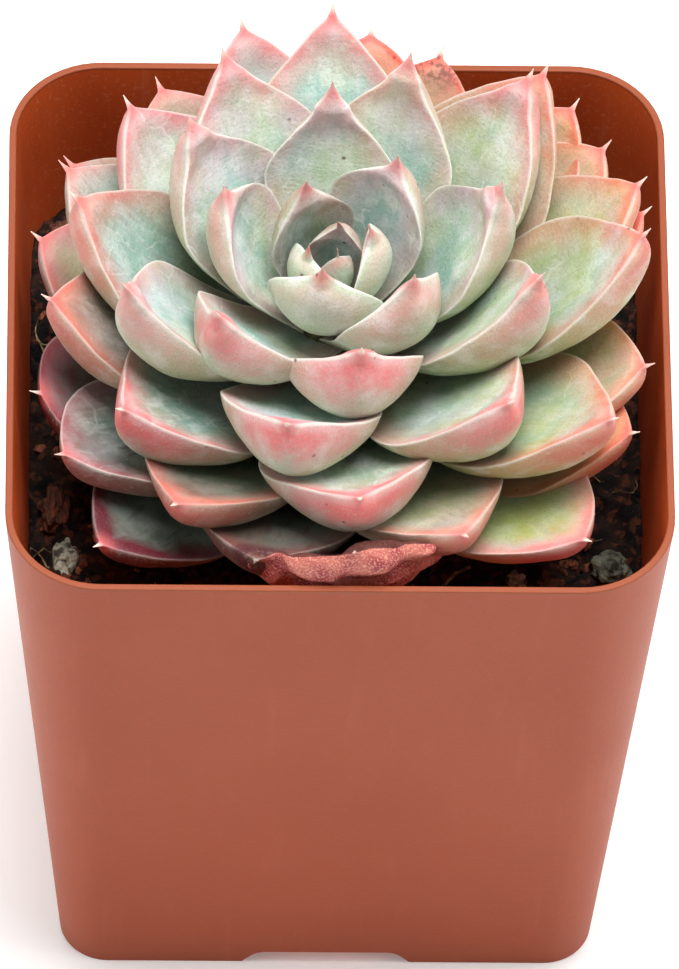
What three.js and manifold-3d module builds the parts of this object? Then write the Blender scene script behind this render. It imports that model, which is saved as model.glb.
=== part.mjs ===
// A red line queen echeveria in a square nursery pot: the pot, the soil in it, the loose grains that lie on
// the soil, and the plant's short stem with its rosette of leaves. Millimetres, +Z up. The origin is the
// middle of the square that the pot stands on, and the side seen in front faces -Y.
import * as THREE from 'three';
import { mergeVertices } from 'three/addons/utils/BufferGeometryUtils.js';
import Module from 'manifold-3d';

const wasm = await Module();
wasm.setup();

// The gap between two pieces that touch.
const FIT = 0.3;

// The pot is a tapered square tub with round corners, and stands on a foot under each corner.
const POT_HEIGHT = 77;
const RIM_SIDE = 70;
const BASE_SIDE = 58;
const RIM_CORNER = 10;
const BASE_CORNER = 5.3;
const CORNER_STEPS = 6;
const WALL = 0.8;
const FOOT_HEIGHT = 2;
const NOTCH_WIDTH = 15;
const NOTCH_FLARE = 1.6;
const DRAIN_DIAMETER = 7;
const DRAIN_OFFSET = 15;

// The soil fills the pot to some way below the rim, and its surface is lumpy.
const SOIL_LEVEL = 57.5;
const SOIL_LUMP = 0.8;
const SOIL_LUMP_LENGTH = 9;
const SOIL_CELLS = 20;
const SOIL_EDGE_DROP = 1.2;

// The stem stands in a plain hole in the soil.
const STEM_RADIUS = 4.4;
const STEM_FOOT = 40;
const STEM_FOOT_TAPER = 2;
const STEM_SHOULDER = 78;
const STEM_TOP = 84;
const STEM_SIDES = 14;

// How far a leaf's foot lies from the stem's middle: the first leaf's, what each next one adds, and the most.
const FIRST_FOOT = 0.4;
const NEXT_FOOT = 0.3;
const LAST_FOOT = 2.6;

// The rosette: every leaf stands on from the last one by the golden angle, the first being the innermost.
const LEAF_COUNT = 51;
const FIRST_TURN = 300;
const GOLDEN_TURN = 137.44;
const AXIS_X = -0.8;
const LEAN_RIGHT = 0.05;
const LEAN_BACK = 0.08;

// Leaf tips, as curves over the leaf's number: how far each reaches from the stem and how high it stands.
const TIP_REACH = [[0, 0.6], [4, 5.7], [10, 16.4], [20, 28.2], [35, 35], [50, 36]];
const TIP_HEIGHT = [[0, 90.8], [4, 95.9], [10, 98.4], [20, 94.2], [35, 83.1], [50, 78]];
const LEAF_FOOT_HEIGHT = [[0, 82], [10, 77.5], [20, 74.3], [35, 70.2], [50, 66]];
const LEAF_WIDTH = [[0, 4.6], [2, 8], [5, 12.4], [12, 15], [20, 17], [30, 18.5], [50, 18]];
const LEAF_CURL = [[0, 0.1], [12, 0.12], [50, 0.09]];
const LEAF_THICKNESS = [[0, 1.5], [5, 2.6], [10, 4.6], [18, 5.6], [26, 5.4], [31, 4.4], [40, 4.2], [50, 4]];
const LEAF_HOLLOW = [[0, 0.5], [3, 0.3], [12, 0.26], [50, 0.14]];
const FOOT_WIDTH = [[0, 0.6], [10, 0.6], [16, 0.42], [50, 0.42]];
const TIP_BLUNTNESS = [[0, 1.8], [4, 1.9], [7, 2.2], [9, 1.6], [30, 1.8], [42, 2.2], [50, 2.1]];
const TIP_POINT = [[0, 0.75], [7, 0.8], [9, 1], [30, 0.92], [42, 0.8], [50, 0.85]];
const TWIST_SPREAD = [[0, 1], [8, 4], [16, 7], [50, 7]];
const SPINE_LENGTH = [[0, 1.2], [2, 2.2], [4, 2.8], [14, 2.8], [24, 1.6], [50, 1.4]];

// The leaves that stand off the even spiral, by number: turn in degrees, reach and rise in millimetres.
const OFF_TURN = {
  4: -6, 5: -9, 7: -13, 8: -8, 9: -5, 10: -8, 11: -5, 12: -5, 13: -9, 14: 2, 17: 4, 18: 3, 19: 9, 21: 6, 22: 8,
  27: -6, 30: 5, 31: -3, 33: -7, 35: -2, 36: 7, 38: -2, 39: -4, 40: -6, 41: -12, 43: -8, 44: 2, 45: 12,
  47: -6.5, 48: -14,
};
const OFF_REACH = {
  3: -0.8, 4: -0.6, 5: -0.5, 7: 0.8, 8: -0.7, 10: 2, 13: -1.5, 15: 2, 19: 1, 24: 3, 28: -1, 29: 4, 32: 1.5,
  42: 5, 44: 2,
};
const OFF_RISE = {
  7: 1, 9: 0.5, 12: 1, 13: 1, 15: 2, 16: 1.5, 18: 0.5, 23: -2.5, 24: 3, 25: -2, 27: 2.5, 29: 1.5, 30: 1, 33: -3,
  35: -3, 38: -2.5, 41: 1, 43: 1.5, 44: -1.5, 45: 1, 46: -2, 47: 6.4, 48: 3, 50: 1.5,
};

// Leaves with a form of their own: the withered one in front, which curls up, and the blunt one on the left.
const OWN_FORM = {
  47: {
    width: 21.5, thickness: 4.6, hollow: 0.1, foot: 0.42, widest: 0.8, bluntness: 3, point: 0.7,
    curl: 0.2, twist: 4, limit: 34.2,
  },
  49: {
    width: 17, thickness: 4.6, hollow: 0.14, foot: 0.42, widest: 0.75, bluntness: 2.8, point: 0.65,
    curl: 0.09, twist: 0, limit: 32.6,
  },
};

// No leaf reaches past these distances from the pot's middle planes: inside the wall, and above the rim.
const INSIDE_LIMIT = 32.6;
const ABOVE_LIMIT = 34.4;
const ABOVE_RIM = 6;

// One leaf, as shares of its own length or greatest width.
const WIDEST = 0.62;
const THICKEST = 0.7;
const FOOT_THICKNESS = 0.45;
const PROW = 2;
const TIP_TAPER = 0.65;
const TOP_SWELL = 0.1;
const SPINE_HALF_WIDTH = 0.4;
const LONGEST_SPINE = 0.18;
const LEAF_AROUND = 8;
const LEAF_ALONG = 8;
const ROW_CROWDING = 1.5;
const RANDOM_SEED = 20;
const TURN_SPREAD = 2;
const SIZE_SPREAD = 0.05;

// Loose grains on the soil: name, place, half sizes, turn about Z and colour.
const PERLITE = '#a9ada0';
const BARK = '#5b3a2a';
const GRAINS = [
  { name: 'perlite_1', x: -28.6, y: -16.4, half: [1.5, 2.6, 1.5], turn: 20, colour: PERLITE },
  { name: 'perlite_2', x: 29.2, y: -17.6, half: [2.3, 1.9, 1.5], turn: -30, colour: PERLITE },
  { name: 'perlite_3', x: 19.2, y: -19.4, half: [1.2, 1.7, 1.1], turn: 10, colour: PERLITE },
  { name: 'bark_1', x: -30, y: -10.6, half: [1.7, 3.1, 1.3], turn: -15, colour: BARK },
  { name: 'bark_2', x: 30, y: 9, half: [1.6, 2.8, 1.2], turn: 25, colour: BARK },
  { name: 'bark_3', x: -28.5, y: 26.5, half: [2.9, 1.5, 1.3], turn: 40, colour: BARK },
];
const GRAIN_SUNK = 0.35;
const GRAIN_ROUGHNESS = 0.16;
const GRAIN_KEY = new THREE.Vector3(31, 57, 83);

// The value at a leaf's number of a curve given by a few points, with straight lines between them.
function along(curve, number) {
  const next = Math.max(1, curve.findIndex(([at]) => at >= number));
  const [fromAt, from] = curve[next - 1];
  const [toAt, to] = curve[next];
  return THREE.MathUtils.mapLinear(number, fromAt, toAt, from, to);
}

// A repeatable random draw between -1 and 1: the digits far behind the point of a sine are as good as random.
function draw(number, purpose) {
  const value = Math.sin(number * 12.9898 + purpose * 78.233 + RANDOM_SEED) * 43758.5453;
  return 2 * (value - Math.floor(value)) - 1;
}

// A three.js geometry as a solid that can be joined and cut.
function solidFrom(geometry) {
  geometry.deleteAttribute('normal');
  geometry.deleteAttribute('uv');
  const merged = mergeVertices(geometry, 1e-4);
  const vertProperties = merged.attributes.position.array;
  const triVerts = new Uint32Array(merged.index.array);
  return new wasm.Manifold(new wasm.Mesh({ numProp: 3, vertProperties, triVerts }));
}

// A finished solid as a named mesh in its own material.
function meshFrom(solid, name, colour, roughness) {
  const { vertProperties, triVerts } = solid.getMesh();
  const geometry = new THREE.BufferGeometry();
  geometry.setAttribute('position', new THREE.BufferAttribute(vertProperties, 3));
  geometry.setIndex(new THREE.BufferAttribute(triVerts, 1));
  geometry.computeVertexNormals();
  const mesh = new THREE.Mesh(geometry, new THREE.MeshStandardMaterial({ color: colour, roughness }));
  mesh.name = name;
  return mesh;
}

// A square with round corners: the corner circles have a radius of 1 and their centres at 1 from the axes.
function templateSquare() {
  const quarter = Math.PI / 2;
  const square = new THREE.Shape();
  [[1, 1], [-1, 1], [-1, -1], [1, -1]].forEach(([x, y], index) => {
    square.absarc(x, y, 1, index * quarter, (index + 1) * quarter, false);
  });
  square.closePath();
  return square;
}

// The space inside the pot's outer form between two heights, drawn in by a distance all round.
function potForm(low, high, inset) {
  const settings = { depth: 1, bevelEnabled: false, curveSegments: CORNER_STEPS };
  const geometry = new THREE.ExtrudeGeometry(templateSquare(), settings);
  const position = geometry.attributes.position;
  for (let i = 0; i < position.count; i += 1) {
    const z = THREE.MathUtils.lerp(low, high, position.getZ(i));
    const half = THREE.MathUtils.lerp(BASE_SIDE, RIM_SIDE, z / POT_HEIGHT) / 2 - inset;
    const corner = THREE.MathUtils.lerp(BASE_CORNER, RIM_CORNER, z / POT_HEIGHT) - inset;
    const [x, y] = [position.getX(i), position.getY(i)].map((value) => {
      const centre = THREE.MathUtils.clamp(value, -1, 1);
      return centre * (half - corner) + (value - centre) * corner;
    });
    position.setXYZ(i, x, y, z);
  }
  return solidFrom(geometry);
}

// The cross of two bars that parts the feet from each other, wider where it meets the ground.
function footCross(width, height) {
  const outline = new THREE.Shape();
  outline.moveTo(-width / 2 - NOTCH_FLARE, -1);
  outline.lineTo(width / 2 + NOTCH_FLARE, -1);
  outline.lineTo(width / 2 + NOTCH_FLARE, 0);
  outline.lineTo(width / 2, height);
  outline.lineTo(-width / 2, height);
  outline.lineTo(-width / 2 - NOTCH_FLARE, 0);
  outline.closePath();
  const geometry = new THREE.ExtrudeGeometry(outline, { depth: RIM_SIDE, bevelEnabled: false });
  geometry.translate(0, 0, -RIM_SIDE / 2);
  geometry.rotateX(Math.PI / 2);
  const bar = solidFrom(geometry);
  return bar.add(bar.rotate([0, 0, 90]));
}

// What lies inside the pot's wall and floor, drawn in by a gap: the floor is lower over the feet.
function potInside(high, gap) {
  const inside = potForm(WALL + gap, high, WALL + gap);
  return inside.subtract(footCross(NOTCH_WIDTH + 2 * (WALL + gap), FOOT_HEIGHT + WALL + gap));
}

function drainHole(x, y) {
  const geometry = new THREE.CylinderGeometry(DRAIN_DIAMETER / 2, DRAIN_DIAMETER / 2, 4 * WALL, 16);
  geometry.rotateX(Math.PI / 2);
  geometry.translate(x, y, FOOT_HEIGHT + WALL / 2);
  return solidFrom(geometry);
}

function makePot() {
  let pot = potForm(0, POT_HEIGHT, 0);
  pot = pot.subtract(potInside(POT_HEIGHT + WALL, 0));
  pot = pot.subtract(footCross(NOTCH_WIDTH, FOOT_HEIGHT));
  for (const [x, y] of [[0, 0], [1, 0], [-1, 0], [0, 1], [0, -1]]) {
    pot = pot.subtract(drainHole(x * DRAIN_OFFSET, y * DRAIN_OFFSET));
  }
  return meshFrom(pot, 'pot', '#c06c4e', 0.5);
}

// The height of the soil's surface: lumps a few millimetres across, lower towards the wall.
function soilHeight(x, y) {
  const wave = (2 * Math.PI) / SOIL_LUMP_LENGTH;
  const broad = Math.sin(wave * x) * Math.sin(wave * y);
  const fine = Math.sin(wave * (2 * x + y)) * Math.sin(wave * (2 * y - x));
  const edge = Math.max(Math.abs(x), Math.abs(y)) / (RIM_SIDE / 2);
  return SOIL_LEVEL + SOIL_LUMP * (broad + fine / 2) - SOIL_EDGE_DROP * edge ** 4;
}

// A grain: a rough little lump, partly sunk in the soil. The pocket that it lies in is the same lump, larger.
function grainSolid({ x, y, half, turn }, number, gap) {
  const geometry = new THREE.IcosahedronGeometry(1, 1);
  const position = geometry.attributes.position;
  const corner = new THREE.Vector3();
  for (let i = 0; i < position.count; i += 1) {
    corner.fromBufferAttribute(position, i);
    const swell = 1 + GRAIN_ROUGHNESS * draw(corner.dot(GRAIN_KEY), number);
    const [x1, y1, z1] = corner.toArray().map((value, axis) => value * (half[axis] * swell + gap));
    position.setXYZ(i, x1, y1, z1);
  }
  geometry.rotateZ(THREE.MathUtils.degToRad(turn));
  geometry.translate(x, y, soilHeight(x, y) + half[2] * (1 - 2 * GRAIN_SUNK));
  return solidFrom(geometry);
}

// The soil: what the pot holds, cut off by the lumpy surface, with the stem's hole and the grains' pockets.
function makeSoil() {
  const reach = RIM_SIDE / 2;
  const block = new THREE.BoxGeometry(2 * reach, 2 * reach, 2 * SOIL_LEVEL, SOIL_CELLS, SOIL_CELLS, 1);
  const position = block.attributes.position;
  for (let i = 0; i < position.count; i += 1) {
    if (position.getZ(i) > 0) {
      position.setZ(i, soilHeight(position.getX(i), position.getY(i)));
    }
  }
  let soil = potInside(POT_HEIGHT, FIT).intersect(solidFrom(block));
  soil = soil.subtract(stemSolid(FIT));
  GRAINS.forEach((grain, number) => {
    soil = soil.subtract(grainSolid(grain, number, FIT));
  });
  return meshFrom(soil, 'soil', '#3a2a22', 0.95);
}

// The stem, widened by a gap where it is the hole that it stands in.
function stemSolid(gap) {
  const radius = STEM_RADIUS + gap;
  const profile = [
    [0, STEM_FOOT - gap],
    [radius - STEM_FOOT_TAPER, STEM_FOOT - gap],
    [radius, STEM_FOOT + STEM_FOOT_TAPER],
    [radius, STEM_SHOULDER],
    [0, STEM_TOP],
  ].map(([distance, height]) => new THREE.Vector2(distance, height));
  const geometry = new THREE.LatheGeometry(profile, STEM_SIDES);
  geometry.rotateX(Math.PI / 2);
  geometry.translate(AXIS_X, 0, 0);
  return solidFrom(geometry);
}

// What sets one leaf's form: its own values, or else the curves' values at its number.
function leafForm(number) {
  return OWN_FORM[number] ?? {
    width: along(LEAF_WIDTH, number) * (1 + SIZE_SPREAD * draw(number, 2)),
    thickness: along(LEAF_THICKNESS, number),
    hollow: along(LEAF_HOLLOW, number),
    foot: along(FOOT_WIDTH, number),
    widest: WIDEST,
    bluntness: along(TIP_BLUNTNESS, number),
    point: along(TIP_POINT, number),
    curl: along(LEAF_CURL, number),
    twist: along(TWIST_SPREAD, number) * draw(number, 3),
  };
}

// Where a leaf lies: its foot on the stem, its tip, and the point between that bends it upwards.
function leafCourse(number, form) {
  const turn = FIRST_TURN + GOLDEN_TURN * number + (OFF_TURN[number] ?? 0) + TURN_SPREAD * draw(number, 1);
  const angle = THREE.MathUtils.degToRad(turn);
  const outward = new THREE.Vector3(Math.cos(angle), Math.sin(angle), 0);
  const wanted = along(TIP_REACH, number) + (OFF_REACH[number] ?? 0);
  const rise = wanted * (LEAN_RIGHT * outward.x + LEAN_BACK * outward.y);
  const height = along(TIP_HEIGHT, number) + rise + (OFF_RISE[number] ?? 0);
  const limit = form.limit ?? (height > POT_HEIGHT + ABOVE_RIM ? ABOVE_LIMIT : INSIDE_LIMIT);
  const sideways = (limit - Math.sign(outward.x) * AXIS_X) / Math.abs(outward.x);
  const reach = Math.min(wanted, sideways, limit / Math.abs(outward.y));
  const footDistance = Math.min(LAST_FOOT, FIRST_FOOT + number * NEXT_FOOT);
  const foot = outward.clone().multiplyScalar(footDistance).setZ(along(LEAF_FOOT_HEIGHT, number));
  const tip = outward.clone().multiplyScalar(reach).setZ(height);
  const span = tip.clone().sub(foot);
  const side = new THREE.Vector3(-outward.y, outward.x, 0);
  const below = side.clone().cross(span).multiplyScalar(2 * form.curl);
  const bend = foot.clone().add(tip).multiplyScalar(0.5).add(below);
  return { curve: new THREE.QuadraticBezierCurve3(foot, bend, tip), side, length: span.length() };
}

// Half the width of a leaf at a share of its length, as a share of the greatest half width.
function leafOutline(share, { foot, widest, bluntness, point }) {
  const broad = THREE.MathUtils.lerp(foot, 1, THREE.MathUtils.smoothstep(share, 0, widest));
  const toTip = Math.min(1, (1 - share) / (1 - widest));
  return broad * (1 - (1 - toTip) ** bluntness) ** point;
}

// How thick a leaf is at a share of its length, as a share of its greatest thickness: blunt towards the tip.
function leafProfile(share) {
  const full = THREE.MathUtils.lerp(FOOT_THICKNESS, 1, THREE.MathUtils.smoothstep(share, 0, THICKEST));
  const past = Math.max(0, (share - THICKEST) / (1 - THICKEST));
  return full * (1 - past ** PROW) ** TIP_TAPER;
}

// One leaf: a ball whose rows lie along the leaf's course. Its upper face is hollowed, its lower face full.
function leafSolid(number) {
  const form = leafForm(number);
  const { curve, side, length } = leafCourse(number, form);
  const halfWidth = form.width / 2;
  const twist = THREE.MathUtils.degToRad(form.twist);
  const flesh = 1 - Math.min(along(SPINE_LENGTH, number) / length, LONGEST_SPINE);
  const geometry = new THREE.SphereGeometry(1, LEAF_AROUND, LEAF_ALONG);
  const position = geometry.attributes.position;
  for (let i = 0; i < position.count; i += 1) {
    const row = Math.acos(THREE.MathUtils.clamp(position.getY(i), -1, 1)) / Math.PI;
    const share = 1 - (1 - row) ** ROW_CROWDING;
    const around = Math.atan2(position.getZ(i), position.getX(i));
    const open = row > 0 && row < 1 ? 1 : 0;
    const body = Math.min(1, share / flesh);
    const reach = open * Math.max(leafOutline(body, form) * halfWidth, SPINE_HALF_WIDTH);
    const depth = open * Math.max(leafProfile(body) * form.thickness, SPINE_HALF_WIDTH);
    const across = reach * Math.cos(around);
    const swell = Math.sin(around) > 0 ? TOP_SWELL : 1 - TOP_SWELL;
    const lift = depth * swell * Math.sin(around) + form.hollow * reach * Math.cos(around) ** 2;
    const forward = curve.getTangent(share);
    const up = forward.clone().cross(side).normalize().applyAxisAngle(forward, twist);
    const right = side.clone().applyAxisAngle(forward, twist);
    const point = curve.getPoint(share).addScaledVector(right, across).addScaledVector(up, lift);
    position.setXYZ(i, point.x + AXIS_X, point.y, point.z);
  }
  return solidFrom(geometry);
}

// The stem and its leaves as one body. Hollows shut in between the leaves' feet are filled.
function makeRosette() {
  let rosette = stemSolid(0);
  for (let number = 0; number < LEAF_COUNT; number += 1) {
    rosette = rosette.add(leafSolid(number));
  }
  const [body] = rosette.decompose().sort((first, second) => second.volume() - first.volume());
  return meshFrom(body, 'rosette', '#a9b8a4', 0.6);
}

const plant = new THREE.Group();
plant.add(makePot(), makeSoil(), makeRosette());
GRAINS.forEach((grain, number) => {
  plant.add(meshFrom(grainSolid(grain, number, 0), grain.name, grain.colour, 0.9));
});

export default plant;
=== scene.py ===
"""A potted red line queen echeveria: the finished looks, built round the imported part.

Sizes are in millimetres, and so are the meshes until each becomes a piece, in metres. The frame is the
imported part's: the pot stands on the ground at the origin, with its front towards -Y.
"""

import logging
import math
import random
from collections.abc import Iterable, Sequence
from dataclasses import dataclass, field
from enum import Enum

import bmesh
import bpy
from mathutils import Matrix, Vector, noise


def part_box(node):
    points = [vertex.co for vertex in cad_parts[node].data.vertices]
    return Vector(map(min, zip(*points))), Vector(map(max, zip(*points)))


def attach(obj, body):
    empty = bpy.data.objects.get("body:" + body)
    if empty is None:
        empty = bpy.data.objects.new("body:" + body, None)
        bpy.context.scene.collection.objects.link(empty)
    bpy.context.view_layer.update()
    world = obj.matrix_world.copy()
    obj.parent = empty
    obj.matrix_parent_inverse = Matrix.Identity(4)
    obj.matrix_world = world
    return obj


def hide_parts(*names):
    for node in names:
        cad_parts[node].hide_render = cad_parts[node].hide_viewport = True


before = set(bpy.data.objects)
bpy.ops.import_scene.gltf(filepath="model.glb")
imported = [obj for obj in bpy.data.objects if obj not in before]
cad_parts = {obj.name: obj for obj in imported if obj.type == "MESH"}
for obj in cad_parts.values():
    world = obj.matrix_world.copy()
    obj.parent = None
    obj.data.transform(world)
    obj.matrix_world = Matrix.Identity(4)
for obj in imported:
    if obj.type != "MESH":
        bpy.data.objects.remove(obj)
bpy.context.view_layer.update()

LOG = logging.getLogger("echeveria")
MM = 0.001
BODY = "root"
IMAGE_WIDTH = 679
IMAGE_HEIGHT = 969
SENSOR = 36.0
# The gap between the pot's floor and the soil.
FIT = 0.3
# The seed that makes the noise in the meshes the same in every run.
NOISE_SEED = 13
# The four numbers of the curve between a colour as written and its light.
KNEE, SLOPE, LIFT, POWER = 0.04045, 12.92, 0.055, 2.4
# The Mix node's sockets for colours: its share, the colour below, the colour above and the result.
SHARE, BELOW, ABOVE, RESULT = 0, 6, 7, 2


class Slot(Enum):
    """The finish slots of the record."""

    POT = "pot"
    SOIL = "soil"
    LEAF = "leaf"
    PERLITE = "perlite"
    BARK = "bark"


class Purpose(Enum):
    """What a leaf's random numbers are drawn for."""

    TURN = 1
    SIZE = 2
    TWIST = 3
    BLUSH = 4
    POWDER = 5


def linear(colour: str) -> tuple[float, float, float, float]:
    """Turns a written colour into the numbers that a colour socket takes.

    Args:
        colour: The colour as it looks on a screen, such as "#c06c4e".

    Returns:
        Linear red, green and blue, and an alpha of 1.
    """
    parts = [int(colour[i:i + 2], 16) / 255 for i in (1, 3, 5)]
    red, green, blue = (p / SLOPE if p <= KNEE else ((p + LIFT) / (1 + LIFT)) ** POWER for p in parts)
    return red, green, blue, 1.0


def ease(value: float, low: float, high: float) -> float:
    """Rises smoothly from 0 at low to 1 at high, and stays there beyond them."""
    share = min(1.0, max(0.0, (value - low) / (high - low)))
    return share * share * (3 - 2 * share)


def mix(first: float, second: float, share: float) -> float:
    """Gives the number that lies a share of the way from first to second."""
    return first + (second - first) * share


class Wire:
    """A socket that can be reckoned with: each operator adds the Math node that it stands for."""

    def __init__(self, sheet: "NodeSheet", socket: bpy.types.NodeSocket) -> None:
        """Wraps a socket of a sheet.

        Args:
            sheet: The sheet that the socket's node is on.
            socket: The output to wrap.
        """
        self.sheet = sheet
        self.socket = socket

    def reckon(self, operation: str, *values: "Wire | float") -> "Wire":
        """Adds a Math node.

        Args:
            operation: The node's operation.
            values: What goes into its sockets, in order.

        Returns:
            Its result.
        """
        sockets = dict(enumerate(values))
        return self.sheet.wire("ShaderNodeMath", {"operation": operation}, sockets)

    def __add__(self, other: "Wire | float") -> "Wire":
        """Adds."""
        return self.reckon("ADD", self, other)

    def __radd__(self, other: float) -> "Wire":
        """Adds to a number."""
        return self.reckon("ADD", other, self)

    def __sub__(self, other: "Wire | float") -> "Wire":
        """Subtracts."""
        return self.reckon("SUBTRACT", self, other)

    def __rsub__(self, other: float) -> "Wire":
        """Subtracts from a number."""
        return self.reckon("SUBTRACT", other, self)

    def __mul__(self, other: "Wire | float") -> "Wire":
        """Multiplies."""
        return self.reckon("MULTIPLY", self, other)

    def __rmul__(self, other: float) -> "Wire":
        """Multiplies a number."""
        return self.reckon("MULTIPLY", other, self)

    def rise(self, low: float, high: float) -> "Wire":
        """Rises smoothly from 0 where this is low to 1 where it is high.

        Args:
            low: Where the result leaves 0.
            high: Where it reaches 1. It may be the smaller of the two, and the result falls then.

        Returns:
            The eased value.
        """
        if low > high:
            return 1 - self.rise(high, low)
        sockets = {"Value": self, "From Min": low, "From Max": high}
        return self.sheet.wire("ShaderNodeMapRange", {"interpolation_type": "SMOOTHSTEP"}, sockets)


class NodeSheet:
    """The nodes of one finish."""

    def __init__(self, name: str) -> None:
        """Starts a material.

        Args:
            name: The material's name.
        """
        self.material = bpy.data.materials.new(name)
        self.material.use_nodes = True
        self.tree = self.material.node_tree
        self.shader = self.tree.nodes["Principled BSDF"]

    def node(self, kind: str, settings: dict | None = None, sockets: dict | None = None) -> bpy.types.Node:
        """Adds any node.

        Args:
            kind: The node's type.
            settings: Its settings, set first.
            sockets: Values or wires for its inputs, by name or number.

        Returns:
            The node.
        """
        made = self.tree.nodes.new(kind)
        for key, value in (settings or {}).items():
            setattr(made, key, value)
        for key, value in (sockets or {}).items():
            self.feed(made.inputs[key], value)
        return made

    def feed(self, socket: bpy.types.NodeSocket, value: "Wire | float | Sequence[float]") -> None:
        """Links a wire to a socket, or sets the socket to a value.

        Args:
            socket: The input.
            value: The wire or the value.
        """
        if isinstance(value, Wire):
            self.tree.links.new(value.socket, socket)
        else:
            socket.default_value = value

    def wire(self, kind: str, settings: dict | None = None, sockets: dict | None = None,
             out: int | str = 0) -> Wire:
        """Adds any node and gives one of its outputs.

        Args:
            kind: The node's type.
            settings: Its settings.
            sockets: Values or wires for its inputs.
            out: The output's name or number.

        Returns:
            The output.
        """
        return Wire(self, self.node(kind, settings, sockets).outputs[out])

    def here(self) -> Wire:
        """Gives the place on the piece, in millimetres."""
        place = self.wire("ShaderNodeTexCoord", out="Object")
        return self.stretch(place, (1 / MM, 1 / MM, 1 / MM))

    def attribute(self, name: str, out: str = "Fac") -> Wire:
        """Gives an attribute of the mesh, as a number unless out says otherwise."""
        return self.wire("ShaderNodeAttribute", {"attribute_name": name}, out=out)

    def stretch(self, vector: Wire, factors: Sequence[float]) -> Wire:
        """Multiplies each part of a vector by a number of its own."""
        return self.wire("ShaderNodeVectorMath", {"operation": "MULTIPLY"}, {0: vector, 1: factors})

    def part(self, vector: Wire, axis: int) -> Wire:
        """Gives one part of a vector: 0 for X, 1 for Y, 2 for Z."""
        return self.wire("ShaderNodeSeparateXYZ", sockets={0: vector}, out=axis)

    def cloud(self, vector: Wire, scale: float, detail: float = 3.0) -> Wire:
        """Gives a soft noise between 0 and 1.

        Args:
            vector: Where the noise is read.
            scale: How many lumps there are in a millimetre.
            detail: How many finer layers it has.

        Returns:
            The noise.
        """
        sockets = {"Vector": vector, "Scale": scale, "Detail": detail}
        return self.wire("ShaderNodeTexNoise", sockets=sockets)

    def cells(self, vector: Wire, scale: float) -> Wire:
        """Gives a pattern of cells: the distance to the nearest cell's middle."""
        return self.wire("ShaderNodeTexVoronoi", sockets={"Vector": vector, "Scale": scale})

    def cracks(self, vector: Wire, scale: float) -> Wire:
        """Gives the distance to the nearest border between cells."""
        sockets = {"Vector": vector, "Scale": scale}
        return self.wire("ShaderNodeTexVoronoi", {"feature": "DISTANCE_TO_EDGE"}, sockets)

    def shift(self, vector: Wire, amount: Wire) -> Wire:
        """Adds an amount to every part of a vector."""
        return self.wire("ShaderNodeVectorMath", {"operation": "ADD"}, {0: vector, 1: amount})

    def blend(self, share: "Wire | float", first: "Wire | str", second: "Wire | str") -> Wire:
        """Mixes two colours.

        Args:
            share: How much of the second shows.
            first: The colour below, as a wire or as written.
            second: The colour above, as a wire or as written.

        Returns:
            The mixed colour.
        """
        first, second = (linear(c) if isinstance(c, str) else c for c in (first, second))
        sockets = {SHARE: share, BELOW: first, ABOVE: second}
        return self.wire("ShaderNodeMix", {"data_type": "RGBA"}, sockets, out=RESULT)

    def finish(self, colour: Wire, roughness: "Wire | float", height: Wire, relief: float,
               **fixed: object) -> bpy.types.Material:
        """Feeds the shader.

        Args:
            colour: The base colour.
            roughness: The roughness.
            height: The height that the bump reads, from 0 to 1.
            relief: How deep that height is, in millimetres.
            fixed: Other sockets of the shader that are the same all over, with _ for a space.

        Returns:
            The finished material.
        """
        bump = self.wire("ShaderNodeBump", sockets={"Height": height, "Distance": relief * MM})
        self.feed(self.shader.inputs["Base Color"], colour)
        self.feed(self.shader.inputs["Roughness"], roughness)
        self.feed(self.shader.inputs["Normal"], bump)
        for name, value in fixed.items():
            self.shader.inputs[name.replace("_", " ")].default_value = value
        return self.material


@dataclass(frozen=True)
class PlasticFinish:
    """The pot's thin moulded plastic: terracotta, with a faint mottle, pin marks, and painted light on the
    top of the rim.
    """

    name: str = "pot_plastic"
    body: str = "#9e431c"
    shade: str = "#983f1b"
    pale: str = "#b45e3c"
    fleck: str = "#8d4630"
    # A duller, less red colour for the top of the rim: painted light, toning down the overhead light and its
    # sheen there.
    painted_rim_light: str = "#93492c"
    speckle: float = 0.15
    rim_height: float = 77.0
    painted_rim_light_depth: float = 0.5
    broad_scale: float = 0.05
    grain_scale: float = 2.2
    flow_scale: float = 0.5
    flow_stretch: tuple[float, float, float] = (1.0, 1.0, 0.12)
    pin_scale: float = 0.35
    pin_size: float = 0.06
    roughness: float = 0.36
    relief: float = 0.05
    specular: float = 0.25

    def material(self) -> bpy.types.Material:
        """Makes the material.

        Returns:
            The material.
        """
        sheet = NodeSheet(self.name)
        here = sheet.here()
        broad = sheet.cloud(here, self.broad_scale, 2.0)
        grain = sheet.cloud(here, self.grain_scale, 4.0)
        flow = sheet.cloud(sheet.stretch(here, self.flow_stretch), self.flow_scale, 4.0)
        colour = sheet.blend(broad.rise(0.35, 0.7) * 0.6, self.body, self.shade)
        colour = sheet.blend(flow.rise(0.55, 0.8) * 0.16, colour, self.pale)
        colour = sheet.blend(grain.rise(0.55, 0.7) * self.speckle, colour, self.pale)
        # Painted light: the top band of the rim takes the duller colour, for the overhead light that falls on
        # it.
        painted_rim_light = (sheet.part(here, 2) - self.rim_height).rise(-self.painted_rim_light_depth, -self.painted_rim_light_depth / 5)
        colour = sheet.blend(painted_rim_light, colour, self.painted_rim_light)
        pins = sheet.cells(here, self.pin_scale).rise(self.pin_size, self.pin_size / 2)
        pins = pins * sheet.cloud(here, 0.3).rise(0.6, 0.7)
        colour = sheet.blend(pins * 0.5, colour, self.fleck)
        roughness = self.roughness + grain * 0.16 + broad * 0.08
        height = grain * 0.6 + flow * 0.4
        return sheet.finish(colour, roughness, height, self.relief, Specular_IOR_Level=self.specular)


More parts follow.
